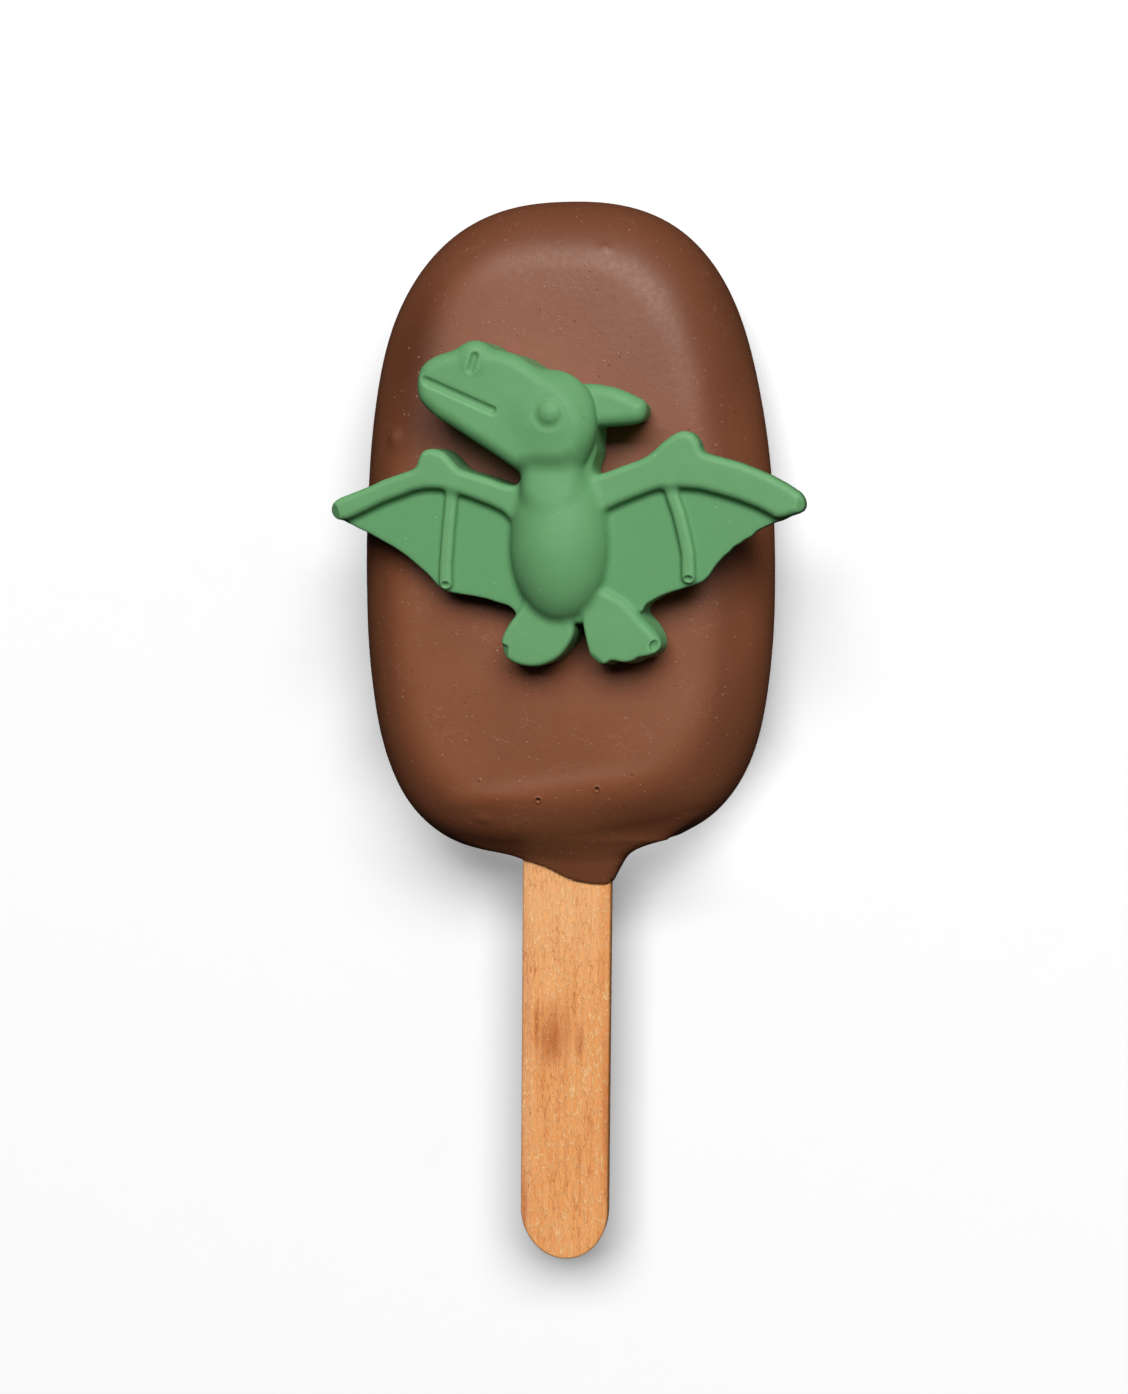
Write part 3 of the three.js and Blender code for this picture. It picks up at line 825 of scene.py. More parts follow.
@dataclass
class ChocolateBar:
    """The coated bar, with the collar of chocolate that ran down the stick."""

    half_width: float = 23.5
    round_reach: float = 44.6
    stick_reach: float = 30.8
    widest_y: float = -7.0
    round_square: float = 2.8
    stick_square_left: float = 3.05
    stick_square_right: float = 2.65
    widest_level: float = 7.5
    rise: float = 11.5
    crown: float = 1.5
    inset_side: float = 8.0
    inset_round: float = 9.0
    inset_stick: float = 8.6
    power_side: float = 2.2
    power_stick: float = 1.6
    back_fillet: float = 3.0
    back_power: float = 2.3
    shrink: float = 0.02
    calm: float = 5.0
    ridge_y: float = -28.2
    ridge_slant: float = 0.17
    ridge_middle: float = -1.0
    ridge_half: Point2 = (11.0, 1.3)
    ridge_height: float = 0.16
    ridge_level: float = 17.5
    lip_y: float = -39.1
    lip_slant: float = 1.3
    lip_middle: float = -0.85
    lip_run: float = 2.6
    collar_wall: float = 0.08
    collar_cover: float = 0.5
    collar_end: float = -33.0
    collar_power: float = 6.0
    collar_edge: float = 0.25
    collar_fillet: Point2 = (1.2, 2.2)
    fillet_run: float = 2.0
    slot_clearance: float = 0.06
    step: float = 0.35

    def plan(self, x: Array, y: Array) -> tuple[Array, Array, Array, Array]:
        """How far a point lies in from the widest outline.

        The outline is |x / a|^n + |y / b|^n = 1 with a and b both shortened by the step t.
        The step is found by Newton's way on the n-th root of the left side.

        Args:
            x: Coordinates across.
            y: Coordinates along.

        Returns:
            The step, the share of the way out to the widest outline, the share of the end
            in the direction of the point, and whether it lies towards the stick.
        """
        from_line = y - self.widest_y + 0 * x
        fuller = self._swell(x + 0 * y, from_line)
        across = np.abs(x) / fuller
        along = np.abs(from_line) / fuller
        to_stick = from_line < 0
        reach = np.where(to_stick, self.stick_reach, self.round_reach)
        stick_square = np.where(x < 0, self.stick_square_left, self.stick_square_right)
        n = np.where(to_stick, stick_square, self.round_square)
        a = self.half_width
        step = np.full(across.shape, FIRST_STEP)
        for _ in range(NEWTON_ROUNDS):
            p = (across / (a - step)) ** n
            q = (along / (reach - step)) ** n
            total = np.maximum(p + q, LEAST_SUM)
            root = total ** (1 / n)
            slope = root / total * (p / (a - step) + q / (reach - step))
            step = np.clip(step + (1 - root) / np.maximum(slope, TINY), *STEP_LIMITS)
        spread = ((across / a) ** n + (along / reach) ** n) ** (1 / n)
        cos, sin = across / (a - step), along / (reach - step)
        end = (sin ** 2 / np.maximum(cos ** 2 + sin ** 2, LEAST_SUM)) ** 2
        return step, spread, end, to_stick

    @staticmethod
    def _swell(x: Array, from_line: Array) -> Array:
        """How much fuller than the even outline the bar is: bells over the direction.

        Args:
            x: Coordinates across.
            from_line: Coordinates along, from the widest line.

        Returns:
            The factor on the outline.
        """
        direction = np.degrees(np.arctan2(from_line, x))
        fuller = np.ones(direction.shape)
        for towards, width, share in SWELLS:
            turned = (direction - towards + 180) % 360 - 180
            fuller += share * np.exp(-0.5 * (turned / width) ** 2)
        return fuller

    def shoulder(self, end: Array, to_stick: Array) -> tuple[Array, Array]:
        """Width and power of the shoulder, mixed from the sides to the ends.

        Args:
            end: Share of the end in the direction of the point.
            to_stick: Whether the point lies towards the stick.

        Returns:
            The width and the power.
        """
        inset = np.where(to_stick, self.inset_stick, self.inset_round)
        width = self.inset_side + (inset - self.inset_side) * end
        power = self.power_side + np.where(to_stick, self.power_stick - self.power_side, 0) * end
        return width, power

    def top(self, x: Array, y: Array) -> Array:
        """Height of the upper surface, without its unevenness.

        Args:
            x: Coordinates across.
            y: Coordinates along.

        Returns:
            Heights above the back.
        """
        step, spread, end, to_stick = self.plan(x, y)
        width, power = self.shoulder(end, to_stick)
        u = np.clip(1 - step / width, 0, 1)
        dome_height = self.crown * np.maximum(1 - spread ** 2, 0)
        return self.widest_level + self.rise * (1 - u ** power) ** (1 / power) + dome_height

    def _unevenness(self, x: Array, y: Array, z: Array) -> Array:
        """Slow waves, the ridge at the end of the crown, and a few marks.

        Waves are products of sines of the place. The ridge is a bell across a slanting line.
        A mark is a bell of the distance from its centre.

        Args:
            x: Coordinates across.
            y: Coordinates along.
            z: Heights.

        Returns:
            How far the surface stands out.
        """
        off_line = y - self.ridge_y - self.ridge_slant * x
        ridge = (np.exp(-(off_line / self.ridge_half[1]) ** 2)
                 * np.exp(-((x - self.ridge_middle) / self.ridge_half[0]) ** 4))
        value = self.ridge_height * ridge / (1 + np.exp(-(z - self.ridge_level) * 2))
        for height, first, second in WAVES:
            one, other = (np.sin(i * x + j * y + k * z + phase)
                          for i, j, k, phase in (first, second))
            value = value + height * one * other
        for (cx, cy, cz), radius, height in BAR_MARKS:
            far = (x - cx) ** 2 + (y - cy) ** 2 + (z - cz) ** 2
            value = value + height * np.exp(-far / radius ** 2)
        return value

    def form(self, x: Array, y: Array, z: Array) -> Array:
        """The whole coated bar as a field.

        Above the widest level the shoulder is (u^p + w^p)^(1/p) = 1, where u falls from 1 at
        the outline to 0 at the crown and w rises with the height. Below it the back fillet
        has the same form. The collar is a rounded box round the stick that flares into the
        end, and the stick's slot is cut out.

        Args:
            x: Coordinates across.
            y: Coordinates along.
            z: Heights.

        Returns:
            Values of the bar, negative inside.
        """
        step, spread, end, to_stick = self.plan(x, y)
        width, power = self.shoulder(end, to_stick)
        step = step - self.shrink
        level = z - self.widest_level
        u = np.maximum(1 - step / width, 0)
        w = np.maximum(level - self.crown * (1 - spread ** 2), 0) / self.rise
        upper = ((u ** power + w ** power) ** (1 / power) - 1) * width
        u = np.maximum(1 - step / self.back_fillet, 0)
        w = np.maximum(-level, 0) / self.widest_level
        lower = ((u ** self.back_power + w ** self.back_power) ** (1 / self.back_power) - 1)
        body = np.where(level > 0, upper, lower * self.back_fillet)
        body = body - self._unevenness(x, y, z) * np.clip(level / self.calm, 0, 1)
        stick_top = STICK.floor + STICK.thickness
        fillet = np.interp(z, (stick_top, stick_top + self.fillet_run), self.collar_fillet)
        whole = join(body, self._collar(x, y, z), fillet)
        return np.maximum(whole, -STICK.form(x, y, z, self.slot_clearance))

    def _collar(self, x: Array, y: Array, z: Array) -> Array:
        """The collar as a field: a section |u|^n + |w|^n = 1 that widens from the lip.

        The lip falls from left to right by a hyperbolic tangent. On the right the section
        widens slowly and then, by a high power of the way from the lip, runs out into the end
        of the bar. On the left it ends close to the bar.

        Args:
            x: Coordinates across.
            y: Coordinates along.
            z: Heights.

        Returns:
            Values of the collar, negative inside.
        """
        middle = STICK.floor + STICK.thickness / 2
        across = x - STICK.x
        lip = self.lip_y - self.lip_slant * np.tanh((x - self.lip_middle) / self.lip_run)
        left, right, face = (flare.at(np.maximum(y - lip, 0)) for flare in FLARES)
        half = STICK.width / 2 + self.collar_wall + np.where(across < 0, left, right)
        tall = STICK.thickness / 2 + self.collar_cover + face
        u, w = np.abs(across) / half, np.abs(z - middle) / tall
        n = self.collar_power
        section = ((u ** n + w ** n) ** (1 / n) - 1) * np.minimum(half, tall)
        ends = np.maximum(lip - y, y - self.collar_end)
        return carve(section, -ends, self.collar_edge)

    def build(self, finish: bpy.types.Material) -> bpy.types.Object:
        """Make the coated bar.

        Args:
            finish: Its material.

        Returns:
            The piece.
        """
        piece = make_piece("milk_chocolate_coat", *skin(self.form, *BAR_LATTICE, self.step), finish)
        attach(piece, BODY)
        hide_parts("chocolate_bar")
        return piece


@dataclass(frozen=True)
class Flare:
    """How the collar widens: evenly, and by a power of the way from its lip, to a stop."""

    lean: float
    gain: float
    run: float
    power: float
    stop: float

    def at(self, away: Array) -> Array:
        """Give the widening at a distance from the lip."""
        way = np.minimum(away, self.stop)
        return self.lean * way + self.gain * (way / self.run) ** self.power


# Towards the left, towards the right, and up and down.
FLARES: tuple[Flare, ...] = (
    Flare(0.0, 0.6, 0.5, 1.6, 1.2),
    Flare(0.5, 1.1, 4.7, 5.5, 5.7),
    Flare(0.4, 0.0, 1.0, 1.0, 5.7),
)

BAR_LATTICE: tuple[Point3, Point3] = ((-24.4, -41.6, -0.8), (24.4, 38.6, 21.6))

FIRST_STEP = -3.0
NEWTON_ROUNDS = 9
LEAST_SUM = 1e-12
STEP_LIMITS = (-8.0, 12.0)

# Direction in degrees, width of the bell in degrees, and how much fuller.
SWELLS: tuple[tuple[float, float, float], ...] = (
    (0, 16, 0.013), (22, 12, 0.004), (49, 8, -0.007), (90, 6, 0.006), (107, 7, -0.005),
    (125, 7, 0.009), (143, 7, 0.004), (176, 12, 0.008), (212, 8, -0.007), (243, 10, 0.013),
    (287, 8, -0.026), (315, 12, 0.018),
)

# Height, and the rates along x, y and z and the phase of two sines.
WAVES: tuple[tuple[float, tuple, tuple], ...] = (
    (0.035, (0.23, 0.11, 0.0, 0.6), (0.0, 0.19, 0.0, 1.1)),
    (0.03, (0.41, -0.2, 0.0, 2.0), (0.0, 0.33, 0.37, 0.0)),
)

# Centre, radius and height.
BAR_MARKS: tuple[tuple[Point3, float, float], ...] = (
    ((-17.9, 10.9, 18.8), 0.8, 0.3),
    ((5.8, 31.4, 18.8), 0.5, 0.15),
    ((-8.1, -31.9, 18.2), 0.7, 0.12),
)


# ------------------------------------------------------------------ the stick

@dataclass
class WoodenStick:
    """A flat stick with two round ends and softened edges, a little askew."""

    length: float = 93.0
    width: float = 10.4
    end_reach: float = 6.0
    thickness: float = 2.0
    tip_y: float = -85.58
    x: float = 0.29
    turn: float = math.radians(-0.47)
    floor: float = 9.5
    edge: float = 0.3
    wave: float = 0.03
    along: int = 170
    around_end: int = 40
    rings: int = 14
    edge_rings: int = 4

    def form(self, x: Array, y: Array, z: Array, margin: float) -> Array:
        """The stick as a field: a slab over a straight run with two half ellipses.

        Args:
            x: Coordinates across.
            y: Coordinates along.
            z: Heights.
            margin: How much larger it is on every side.

        Returns:
            Values of the stick, negative inside.
        """
        cos, sin = math.cos(self.turn), math.sin(self.turn)
        px, py = x - self.x, y - self.tip_y - self.length / 2
        across, along = px * cos + py * sin, np.abs(py * cos - px * sin)
        half, reach = self.width / 2 + margin, self.end_reach + margin
        beyond = np.maximum(along - self.length / 2 + self.end_reach, 0)
        plan = (np.hypot(across / half, beyond / reach) - 1) * half
        level = np.abs(z - self.floor - self.thickness / 2) - self.thickness / 2 - margin
        return np.maximum(plan, level)

    def surface(self) -> tuple[Array, Array]:
        """Points on rings round the stick, from its upper middle line to its lower one.

        One parameter runs round the outline, a straight run and a half ellipse twice over.
        The other brings the ring from the middle line out to the edge, round the softened
        edge as a quarter circle, down the side and back in below. A ring that lies in by d
        has ends whose half axes are shorter by d. The faces dip by a slow wave along the
        grain, and the two sides are welded where they meet on the middle lines.

        Returns:
            The vertices and the faces.
        """
        radius = self.width / 2
        run = self.length / 2 - self.end_reach
        inward = np.linspace(radius, self.edge, self.rings)
        turn = np.linspace(0, math.pi / 2, self.edge_rings + 1)[1:]
        inset = np.concatenate([inward, self.edge * (1 - np.sin(turn))])
        height = np.concatenate([np.full(self.rings, self.thickness),
                                 self.thickness - self.edge * (1 - np.cos(turn))])
        inset = np.concatenate([inset, inset[::-1]])[None, :]
        height = np.concatenate([height, self.thickness - height[::-1]])[None, :]
        straight = np.linspace(-run, run, self.along, endpoint=False)
        angle = np.linspace(0, math.pi, self.around_end, endpoint=False)
        start = np.concatenate([straight, np.full(self.around_end, run)])[:, None]
        angle = np.concatenate([np.zeros(self.along), angle])[:, None]
        x = (radius - inset) * np.cos(angle)
        y = start + (self.end_reach - inset) * np.sin(angle)
        x, y = np.vstack([x, -x]), np.vstack([y, -y])
        wave = self.wave * np.sin(0.13 * y + 0.7 * x) * (inset >= self.edge + 0.01)
        z = self.floor + height + wave * np.sign(height - self.thickness / 2)
        cos, sin = math.cos(self.turn), math.sin(self.turn)
        points = np.stack([x * cos - y * sin + self.x,
                           x * sin + y * cos + self.tip_y + self.length / 2, z], axis=-1)
        n, m = points.shape[:2]
        i, j = np.meshgrid(np.arange(n), np.arange(m - 1), indexing="ij")
        nxt = (i + 1) % n
        faces = np.stack([i * m + j, i * m + j + 1, nxt * m + j + 1, nxt * m + j], axis=-1)
        _, first, index = np.unique(np.round(points.reshape(-1, 3), 4), axis=0,
                                    return_index=True, return_inverse=True)
        return points.reshape(-1, 3)[first], index.ravel()[faces.reshape(-1, 4)]

    def build(self, finish: bpy.types.Material) -> bpy.types.Object:
        """Make the stick.

        Args:
            finish: Its material.

        Returns:
            The piece.
        """
        piece = make_piece("birch_stick", *self.surface(), finish)
        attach(piece, BODY)
        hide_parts("wooden_stick")
        return piece


STICK = WoodenStick()


# ------------------------------------------------------------------ the topper

@dataclass(frozen=True)
class Wing:
    """One wing in the topper's own frame: arm, sheet and finger."""

    arm: tuple[Point2, ...]
    sheet: tuple[Point2, ...]
    finger: tuple[Disc, ...]
    scoop: Point2
    lift: float


LEFT_WING = Wing(
    arm=((-26.2, 1.85), (-25.8, 2.5), (-25.2, 2.95), (-23.0, 3.75), (-21.3, 4.4), (-20.0, 5.0),
         (-18.0, 5.65), (-16.6, 6.1), (-16.15, 6.5), (-16.0, 7.2), (-15.6, 7.95), (-15.2, 8.25),
         (-14.8, 8.3), (-14.3, 8.35), (-13.7, 8.2), (-13.0, 7.9), (-12.6, 7.5), (-12.0, 6.85),
         (-11.5, 6.3), (-11.0, 6.0), (-10.0, 5.7), (-8.0, 5.1), (-6.5, 4.55), (-5.3, 4.3),
         (-4.5, 4.5), (-3.6, 5.6), (-2.5, 1.2), (-5.7, 0.7), (-6.5, 1.5), (-8.0, 2.2),
         (-10.0, 2.95), (-12.0, 3.6), (-13.5, 3.95), (-15.0, 4.0), (-16.5, 3.75), (-18.0, 3.2),
         (-20.0, 2.5), (-22.8, 1.2), (-24.2, 0.6), (-25.2, 0.6), (-25.8, 0.85), (-26.15, 1.3)),
    sheet=((-24.6, 0.4), (-24.0, 0.1), (-23.25, -0.3), (-22.1, -0.8), (-20.6, -1.6),
           (-19.0, -2.45), (-17.5, -3.45), (-16.35, -4.4), (-15.2, -5.35), (-14.1, -6.6),
           (-13.6, -7.0), (-12.95, -7.25), (-11.4, -7.5), (-9.9, -7.7), (-8.4, -8.0),
           (-7.3, -8.35), (-6.15, -8.65), (-5.5, -9.1), (-5.3, -9.6), (-3.0, -9.6),
           (-1.0, -6.0), (-1.0, 3.0), (-6.0, 3.0), (-10.0, 4.3), (-14.5, 5.2), (-18.0, 4.4),
           (-22.0, 2.8), (-24.6, 1.6)),
    finger=((-12.1, 4.2, 0.7), (-12.35, 3.0, 0.7), (-12.7, -0.5, 0.7), (-13.0, -4.1, 0.7),
            (-13.05, -6.2, 0.72)),
    scoop=(-13.05, -6.5),
    lift=0.0,
)

RIGHT_WING = Wing(
    arm=((2.0, 4.8), (3.0, 5.2), (4.0, 5.5), (5.0, 5.75), (7.0, 6.5), (8.5, 7.0), (9.3, 7.4),
         (10.0, 7.9), (11.0, 8.85), (12.0, 9.6), (12.8, 10.0), (13.3, 10.1), (13.9, 9.95),
         (14.4, 9.7), (14.95, 9.0), (15.1, 8.3), (15.4, 7.8), (16.3, 7.5), (17.7, 7.15),
         (19.3, 6.7), (20.7, 6.15), (22.5, 5.4), (24.25, 4.45), (25.7, 3.5), (26.15, 2.7),
         (26.15, 2.0), (25.9, 1.6), (25.1, 1.3), (24.1, 1.0), (23.2, 0.85), (22.3, 1.4),
         (21.0, 2.05), (19.0, 2.8), (17.0, 3.4), (15.0, 3.9), (13.0, 4.05), (11.2, 4.05),
         (10.0, 3.75), (8.0, 3.0), (6.0, 2.2), (4.6, 1.5), (2.0, 1.0)),
    sheet=((24.0, 0.95), (22.8, 0.4), (21.55, -0.2), (20.9, -0.5), (20.7, -0.9), (20.2, -1.2),
           (19.6, -1.45), (19.3, -1.8), (18.5, -2.15), (18.15, -2.7), (17.6, -3.05),
           (16.6, -4.2), (15.9, -5.3), (15.2, -5.95), (14.3, -6.25), (13.2, -6.6),
           (11.75, -7.05), (10.6, -7.5), (9.8, -7.95), (9.2, -8.3), (8.9, -8.65),
           (8.8, -9.2), (6.5, -9.2),
           (2.5, -8.5), (0.5, -4.0), (0.5, 3.0), (4.0, 3.5), (8.0, 4.8), (12.0, 6.0),
           (16.0, 5.6), (20.0, 4.4), (23.5, 2.8), (24.2, 1.7)),
    finger=((11.85, 4.2, 0.7), (12.1, 3.2, 0.7), (12.75, 1.4, 0.7), (13.3, -0.7, 0.7),
            (13.75, -2.85, 0.7), (13.85, -5.3, 0.72)),
    scoop=(13.85, -5.6),
    lift=2.8,
)


@dataclass(frozen=True)
class Facet:
    """A flat cut: what lies past a plane comes off, up to the plane of its limit."""

    point: Point3
    slope: Point3
    softness: float
    limit_point: Point3
    limit_slope: Point3

    def cut(self, body: Array, x: Array, y: Array, z: Array) -> Array:
        """Cut the facet into a field.

        Args:
            body: Values of the field.
            x: Coordinates across.
            y: Coordinates along.
            z: Heights.

        Returns:
            The values of what is left.
        """
        past, beyond = (sum((c - at) * lean for c, at, lean in zip((x, y, z), point, slope))
                        for point, slope in ((self.point, self.slope),
                                             (self.limit_point, self.limit_slope)))
        return carve(body, np.maximum(-past, beyond), self.softness)


LEFT_TIP = Facet((-25.1, 1.6, 5.4), (-0.62, -0.22, 0.75), 0.06, (0.0, 0.0, -5.0), (0.0, 0.0, -1.0))
RIGHT_TIP = Facet((25.5, 2.6, 5.4), (0.6, -0.1, 0.79), 0.12, (0.0, 0.0, 4.6), (0.0, 0.0, -1.0))
LEFT_CLAW = Facet((-5.95, 0.0, 4.75), (-0.75, 0.0, 0.66), 0.08, (-6.0, -13.1, 0.0), (0.5, 1.0, 0.0))
RIGHT_TOE = Facet((4.05, -14.35, 4.65), (-0.37, -0.47, 0.8), 0.08, (4.9, 0.0, 0.0), (1.0, 0.0, 0.0))


@dataclass
class PterodactylTopper:
    """The moulded green figure. It lies in a frame of its own that leans to the left.

    A Slab gives the height of a part's upper face and the radius of its edge.
    """

    bar: ChocolateBar
    origin: Point3 = (2.44, 1.2, 20.6)
    lean: float = math.radians(3.0)
    draft: float = 0.02
    arm: Slab = (5.5, 0.75)
    arm_fillet: float = 0.7
    sheet: Slab = (4.3, 0.3)
    finger: Slab = (5.1, 0.55)
    finger_fillet: float = 0.45
    scoop_half: Point3 = (0.56, 0.42, 0.45)
    stand: Point2 = (8.0, 14.0)
    left_foot: Slab = (4.8, 0.6)
    right_foot: Slab = (4.8, 0.4)
    right_foot_draft: float = 0.1
    bevel_line: float = -4.2
    bevel_run: float = 1.2
    bevel_more: float = 0.5
    claw: tuple[Point3, Point3] = ((10.5, -12.85, 4.65), (0.9, 0.75, 0.42))
    fork: Slab = (4.55, 0.6)
    crest: Slab = (5.95, 1.5)
    crest_draft: float = -0.1
    head_top: float = 8.3
    head_edge: float = 1.5
    head_swell: Point2 = (3.4, 0.45)
    nape: Point2 = (0.5, 3.0)
    nape_more: float = 0.8
    skull_centre: Point3 = (-0.9, 11.7, 6.3)
    skull_half: Point3 = (4.9, 4.9, 2.2)
    nose_disc: Disc = (-8.65, 17.6, 1.95)
    nose: Slab = (8.35, 1.2)
    shelf: Slab = (5.3, 0.5)
    shelf_discs: tuple[Disc, Disc] = ((2.4, 8.2, 1.5), (2.1, 6.2, 1.15))
    neck: Slab = (7.5, 1.6)
    neck_discs: tuple[Disc, Disc] = ((-0.8, 4.4, 3.3), (-0.7, 9.0, 3.6))
    torso_centre: Point3 = (-0.3, -2.0, 3.8)
    torso_half: Point2 = (5.5, 4.35)
    torso_reach: Point2 = (8.5, 10.8)
    eye: Point3 = (-0.44, 12.0, 8.38)
    eye_half: Point3 = (1.4, 1.4, 0.9)
    ring_radius: float = 1.7
    ring_level: float = 9.15
    ring_groove: float = 0.42
    mouth: tuple[Point2, Point2] = ((-14.3, 15.6), (-6.75, 12.3))
    mouth_groove: Point2 = (8.35, 0.42)
    nostril: tuple[Point2, Point2] = ((-8.65, 18.0), (-9.15, 16.6))
    nostril_groove: Point2 = (8.55, 0.45)
    step: float = 0.19

    def __post_init__(self) -> None:
        """Work out the nets of the outlines."""
        wings = (LEFT_WING, RIGHT_WING)
        self.wings = [(wing, Plan(wing.arm, 0.25), Plan(wing.sheet, 0.25)) for wing in wings]
        self.feet = Plan(LEFT_FOOT, 0.3), Plan(RIGHT_FOOT, 0.22)
        self.head_plan, self.crest_plan = Plan(HEAD, 0.35), Plan(CREST, 0.35)

    def world(self, points: Array) -> Array:
        """Turn points of the topper's frame into the part's frame.

        Args:
            points: Points in the topper's frame.

        Returns:
            The same points in the part's frame.
        """
        cos, sin = math.cos(self.lean), math.sin(self.lean)
        x, y, z = points.T
        turned = np.stack([x * cos - z * sin, y, x * sin + z * cos], axis=1)
        return turned + np.array(self.origin)

    def _base(self, x: Array, y: Array) -> Array:
        """Height of the underside: no lower than the crown, and raised under the right wing.

        Args:
            x: Coordinates across.
            y: Coordinates along.

        Returns:
            Heights in the topper's frame.
        """
        cos, sin = math.cos(self.lean), math.sin(self.lean)
        crown = self.bar.top(self.origin[0] + x * cos, self.origin[1] + y)
        rest = (crown - self.origin[2] - x * sin) / cos
        out = np.clip((x - self.stand[0]) / (self.stand[1] - self.stand[0]), 0, 1)
        return np.maximum(np.maximum(rest, 0.0), RIGHT_WING.lift * out ** 2 * (3 - 2 * out))

    def _wings(self, x: Array, y: Array, z: Array) -> Array:
        """Sheets, arms and fingers of both wings, with crisp creases between them.

        Args:
            x: Coordinates across.
            y: Coordinates along.
            z: Heights.

        Returns:
            Values of the wings, negative inside.
        """
        parts = []
        for wing, arm, sheet in self.wings:
            part = slab(sheet.at(x, y), z, *self.sheet, self.draft)
            rib = slab(chain(x, y, wing.finger), z, *self.finger, self.draft)
            bowl = dome(x, y, z, (*wing.scoop, self.finger[0]), self.scoop_half)
            part = join(part, carve(rib, bowl, 0.08), self.finger_fillet)
            parts.append(join(part, slab(arm.at(x, y), z, *self.arm, self.draft),
                              self.arm_fillet))
        return RIGHT_TIP.cut(LEFT_TIP.cut(np.minimum(*parts), x, y, z), x, y, z)

    def _legs(self, x: Array, y: Array, z: Array) -> Array:
        """Both feet, with the small facets of the claws cut into them.

        Args:
            x: Coordinates across.
            y: Coordinates along.
            z: Heights.

        Returns:
            Values of the feet, negative inside.
        """
        outer = np.clip((x + y - self.bevel_line) / self.bevel_run, 0, 1)
        top, edge = self.right_foot
        left, right = (foot.at(x, y) for foot in self.feet)
        left = LEFT_CLAW.cut(slab(left, z, *self.left_foot, self.draft), x, y, z)
        right = slab(right, z, top, edge + self.bevel_more * outer, self.right_foot_draft)
        right = RIGHT_TOE.cut(right, x, y, z)
        right = carve(right, dome(x, y, z, *self.claw), 0.08)
        fork = slab(chain(x, y, LEG_FORK), z, *self.fork, self.draft)
        return join(join(left, right, 0.3), fork, 0.2)

    def _head(self, x: Array, y: Array, z: Array) -> Array:
        """Head, skull, crest and eye, with the mouth and the nostril grooved into them.

        Args:
            x: Coordinates across.
            y: Coordinates along.
            z: Heights.

        Returns:
            Values of the head, negative inside.
        """
        wide, high = self.head_swell
        from_skull = (x - self.skull_centre[0]) ** 2 + (y - self.skull_centre[1]) ** 2
        top = self.head_top + high * np.exp(-from_skull / wide ** 2)
        edge = self.head_edge + self.nape_more * np.clip(
            (x - self.nape[0]) / (self.nape[1] - self.nape[0]), 0, 1)
        head = slab(self.head_plan.at(x, y), z, top, edge)
        head = join(head, dome(x, y, z, self.skull_centre, self.skull_half), 0.8)
        nose_x, nose_y, nose_radius = self.nose_disc
        nose = np.hypot(x - nose_x, y - nose_y) - nose_radius
        shelf = strand(x, y, *self.shelf_discs)
        for plan, form, draft, fillet in (
            (nose, self.nose, 0.0, 0.5),
            (self.crest_plan.at(x, y), self.crest, self.crest_draft, 0.4),
            (shelf, self.shelf, 0.0, 0.4),
        ):
            head = join(head, slab(plan, z, *form, draft), fillet)
        from_eye = np.hypot(x - self.eye[0], y - self.eye[1])
        ring = np.hypot(from_eye - self.ring_radius, z - self.ring_level) - self.ring_groove
        head = join(carve(head, ring, 0.2), dome(x, y, z, self.eye, self.eye_half), 0.15)
        for (start, end), (level, radius) in ((self.mouth, self.mouth_groove),
                                              (self.nostril, self.nostril_groove)):
            line = strand(x, y, (*start, 0.0), (*end, 0.0))
            head = carve(head, np.hypot(line, z - level) - radius, 0.25)
        return head

    def form(self, x: Array, y: Array, z: Array) -> Array:
        """The whole figure as a field, in its own frame.

        Args:
            x: Coordinates across.
            y: Coordinates along.
            z: Heights.

        Returns:
            Values of the figure, negative inside.
        """
        low = join(self._wings(x, y, z), self._legs(x, y, z), 0.4)
        reach = np.where(y < self.torso_centre[1], *self.torso_reach)
        half = (self.torso_half[0], reach, self.torso_half[1])
        body = join(low, dome(x, y, z, self.torso_centre, half), 0.7)
        neck = slab(strand(x, y, *self.neck_discs), z, *self.neck)
        body = join(body, join(neck, self._head(x, y, z), 1.2), 0.9)
        return carve(body, z - self._base(x, y), 0.1)

    def bend(self, points: Array, reach: float = 0.3) -> Array:
        """How sharply the skin bends, above 0 over an edge and below 0 in a crease.

        It is the sum of the field's values one reach away along the three axes, less six
        times the value here, over the square of the reach.

        Args:
            points: Points of the skin.
            reach: Length of the steps.

        Returns:
            The bend at each point.
        """
        x, y, z = points.T
        around = sum(self.form(x + a, y + b, z + c)
                     for a, b, c in np.vstack([np.eye(3), -np.eye(3)]) * reach)
        return (around - 6 * self.form(x, y, z)) / reach ** 2

    def build(self, finish: bpy.types.Material) -> bpy.types.Object:
        """Make the topper.

        Args:
            finish: Its material.

        Returns:
            The piece.
        """
        points, faces = skin(self.form, *TOPPER_LATTICE, self.step)
        # The bend goes on the vertices for the icing's painted highlights on edges and painted
        # shade in creases.
        piece = make_piece("green_pterodactyl", self.world(points), faces, finish,
                           bend=self.bend(points), level=points[:, 2])
        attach(piece, BODY)
        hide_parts("pterodactyl_topper")
        return piece


TOPPER_LATTICE: tuple[Point3, Point3] = ((-26.9, -16.0, -1.0), (27.1, 21.0, 10.2))

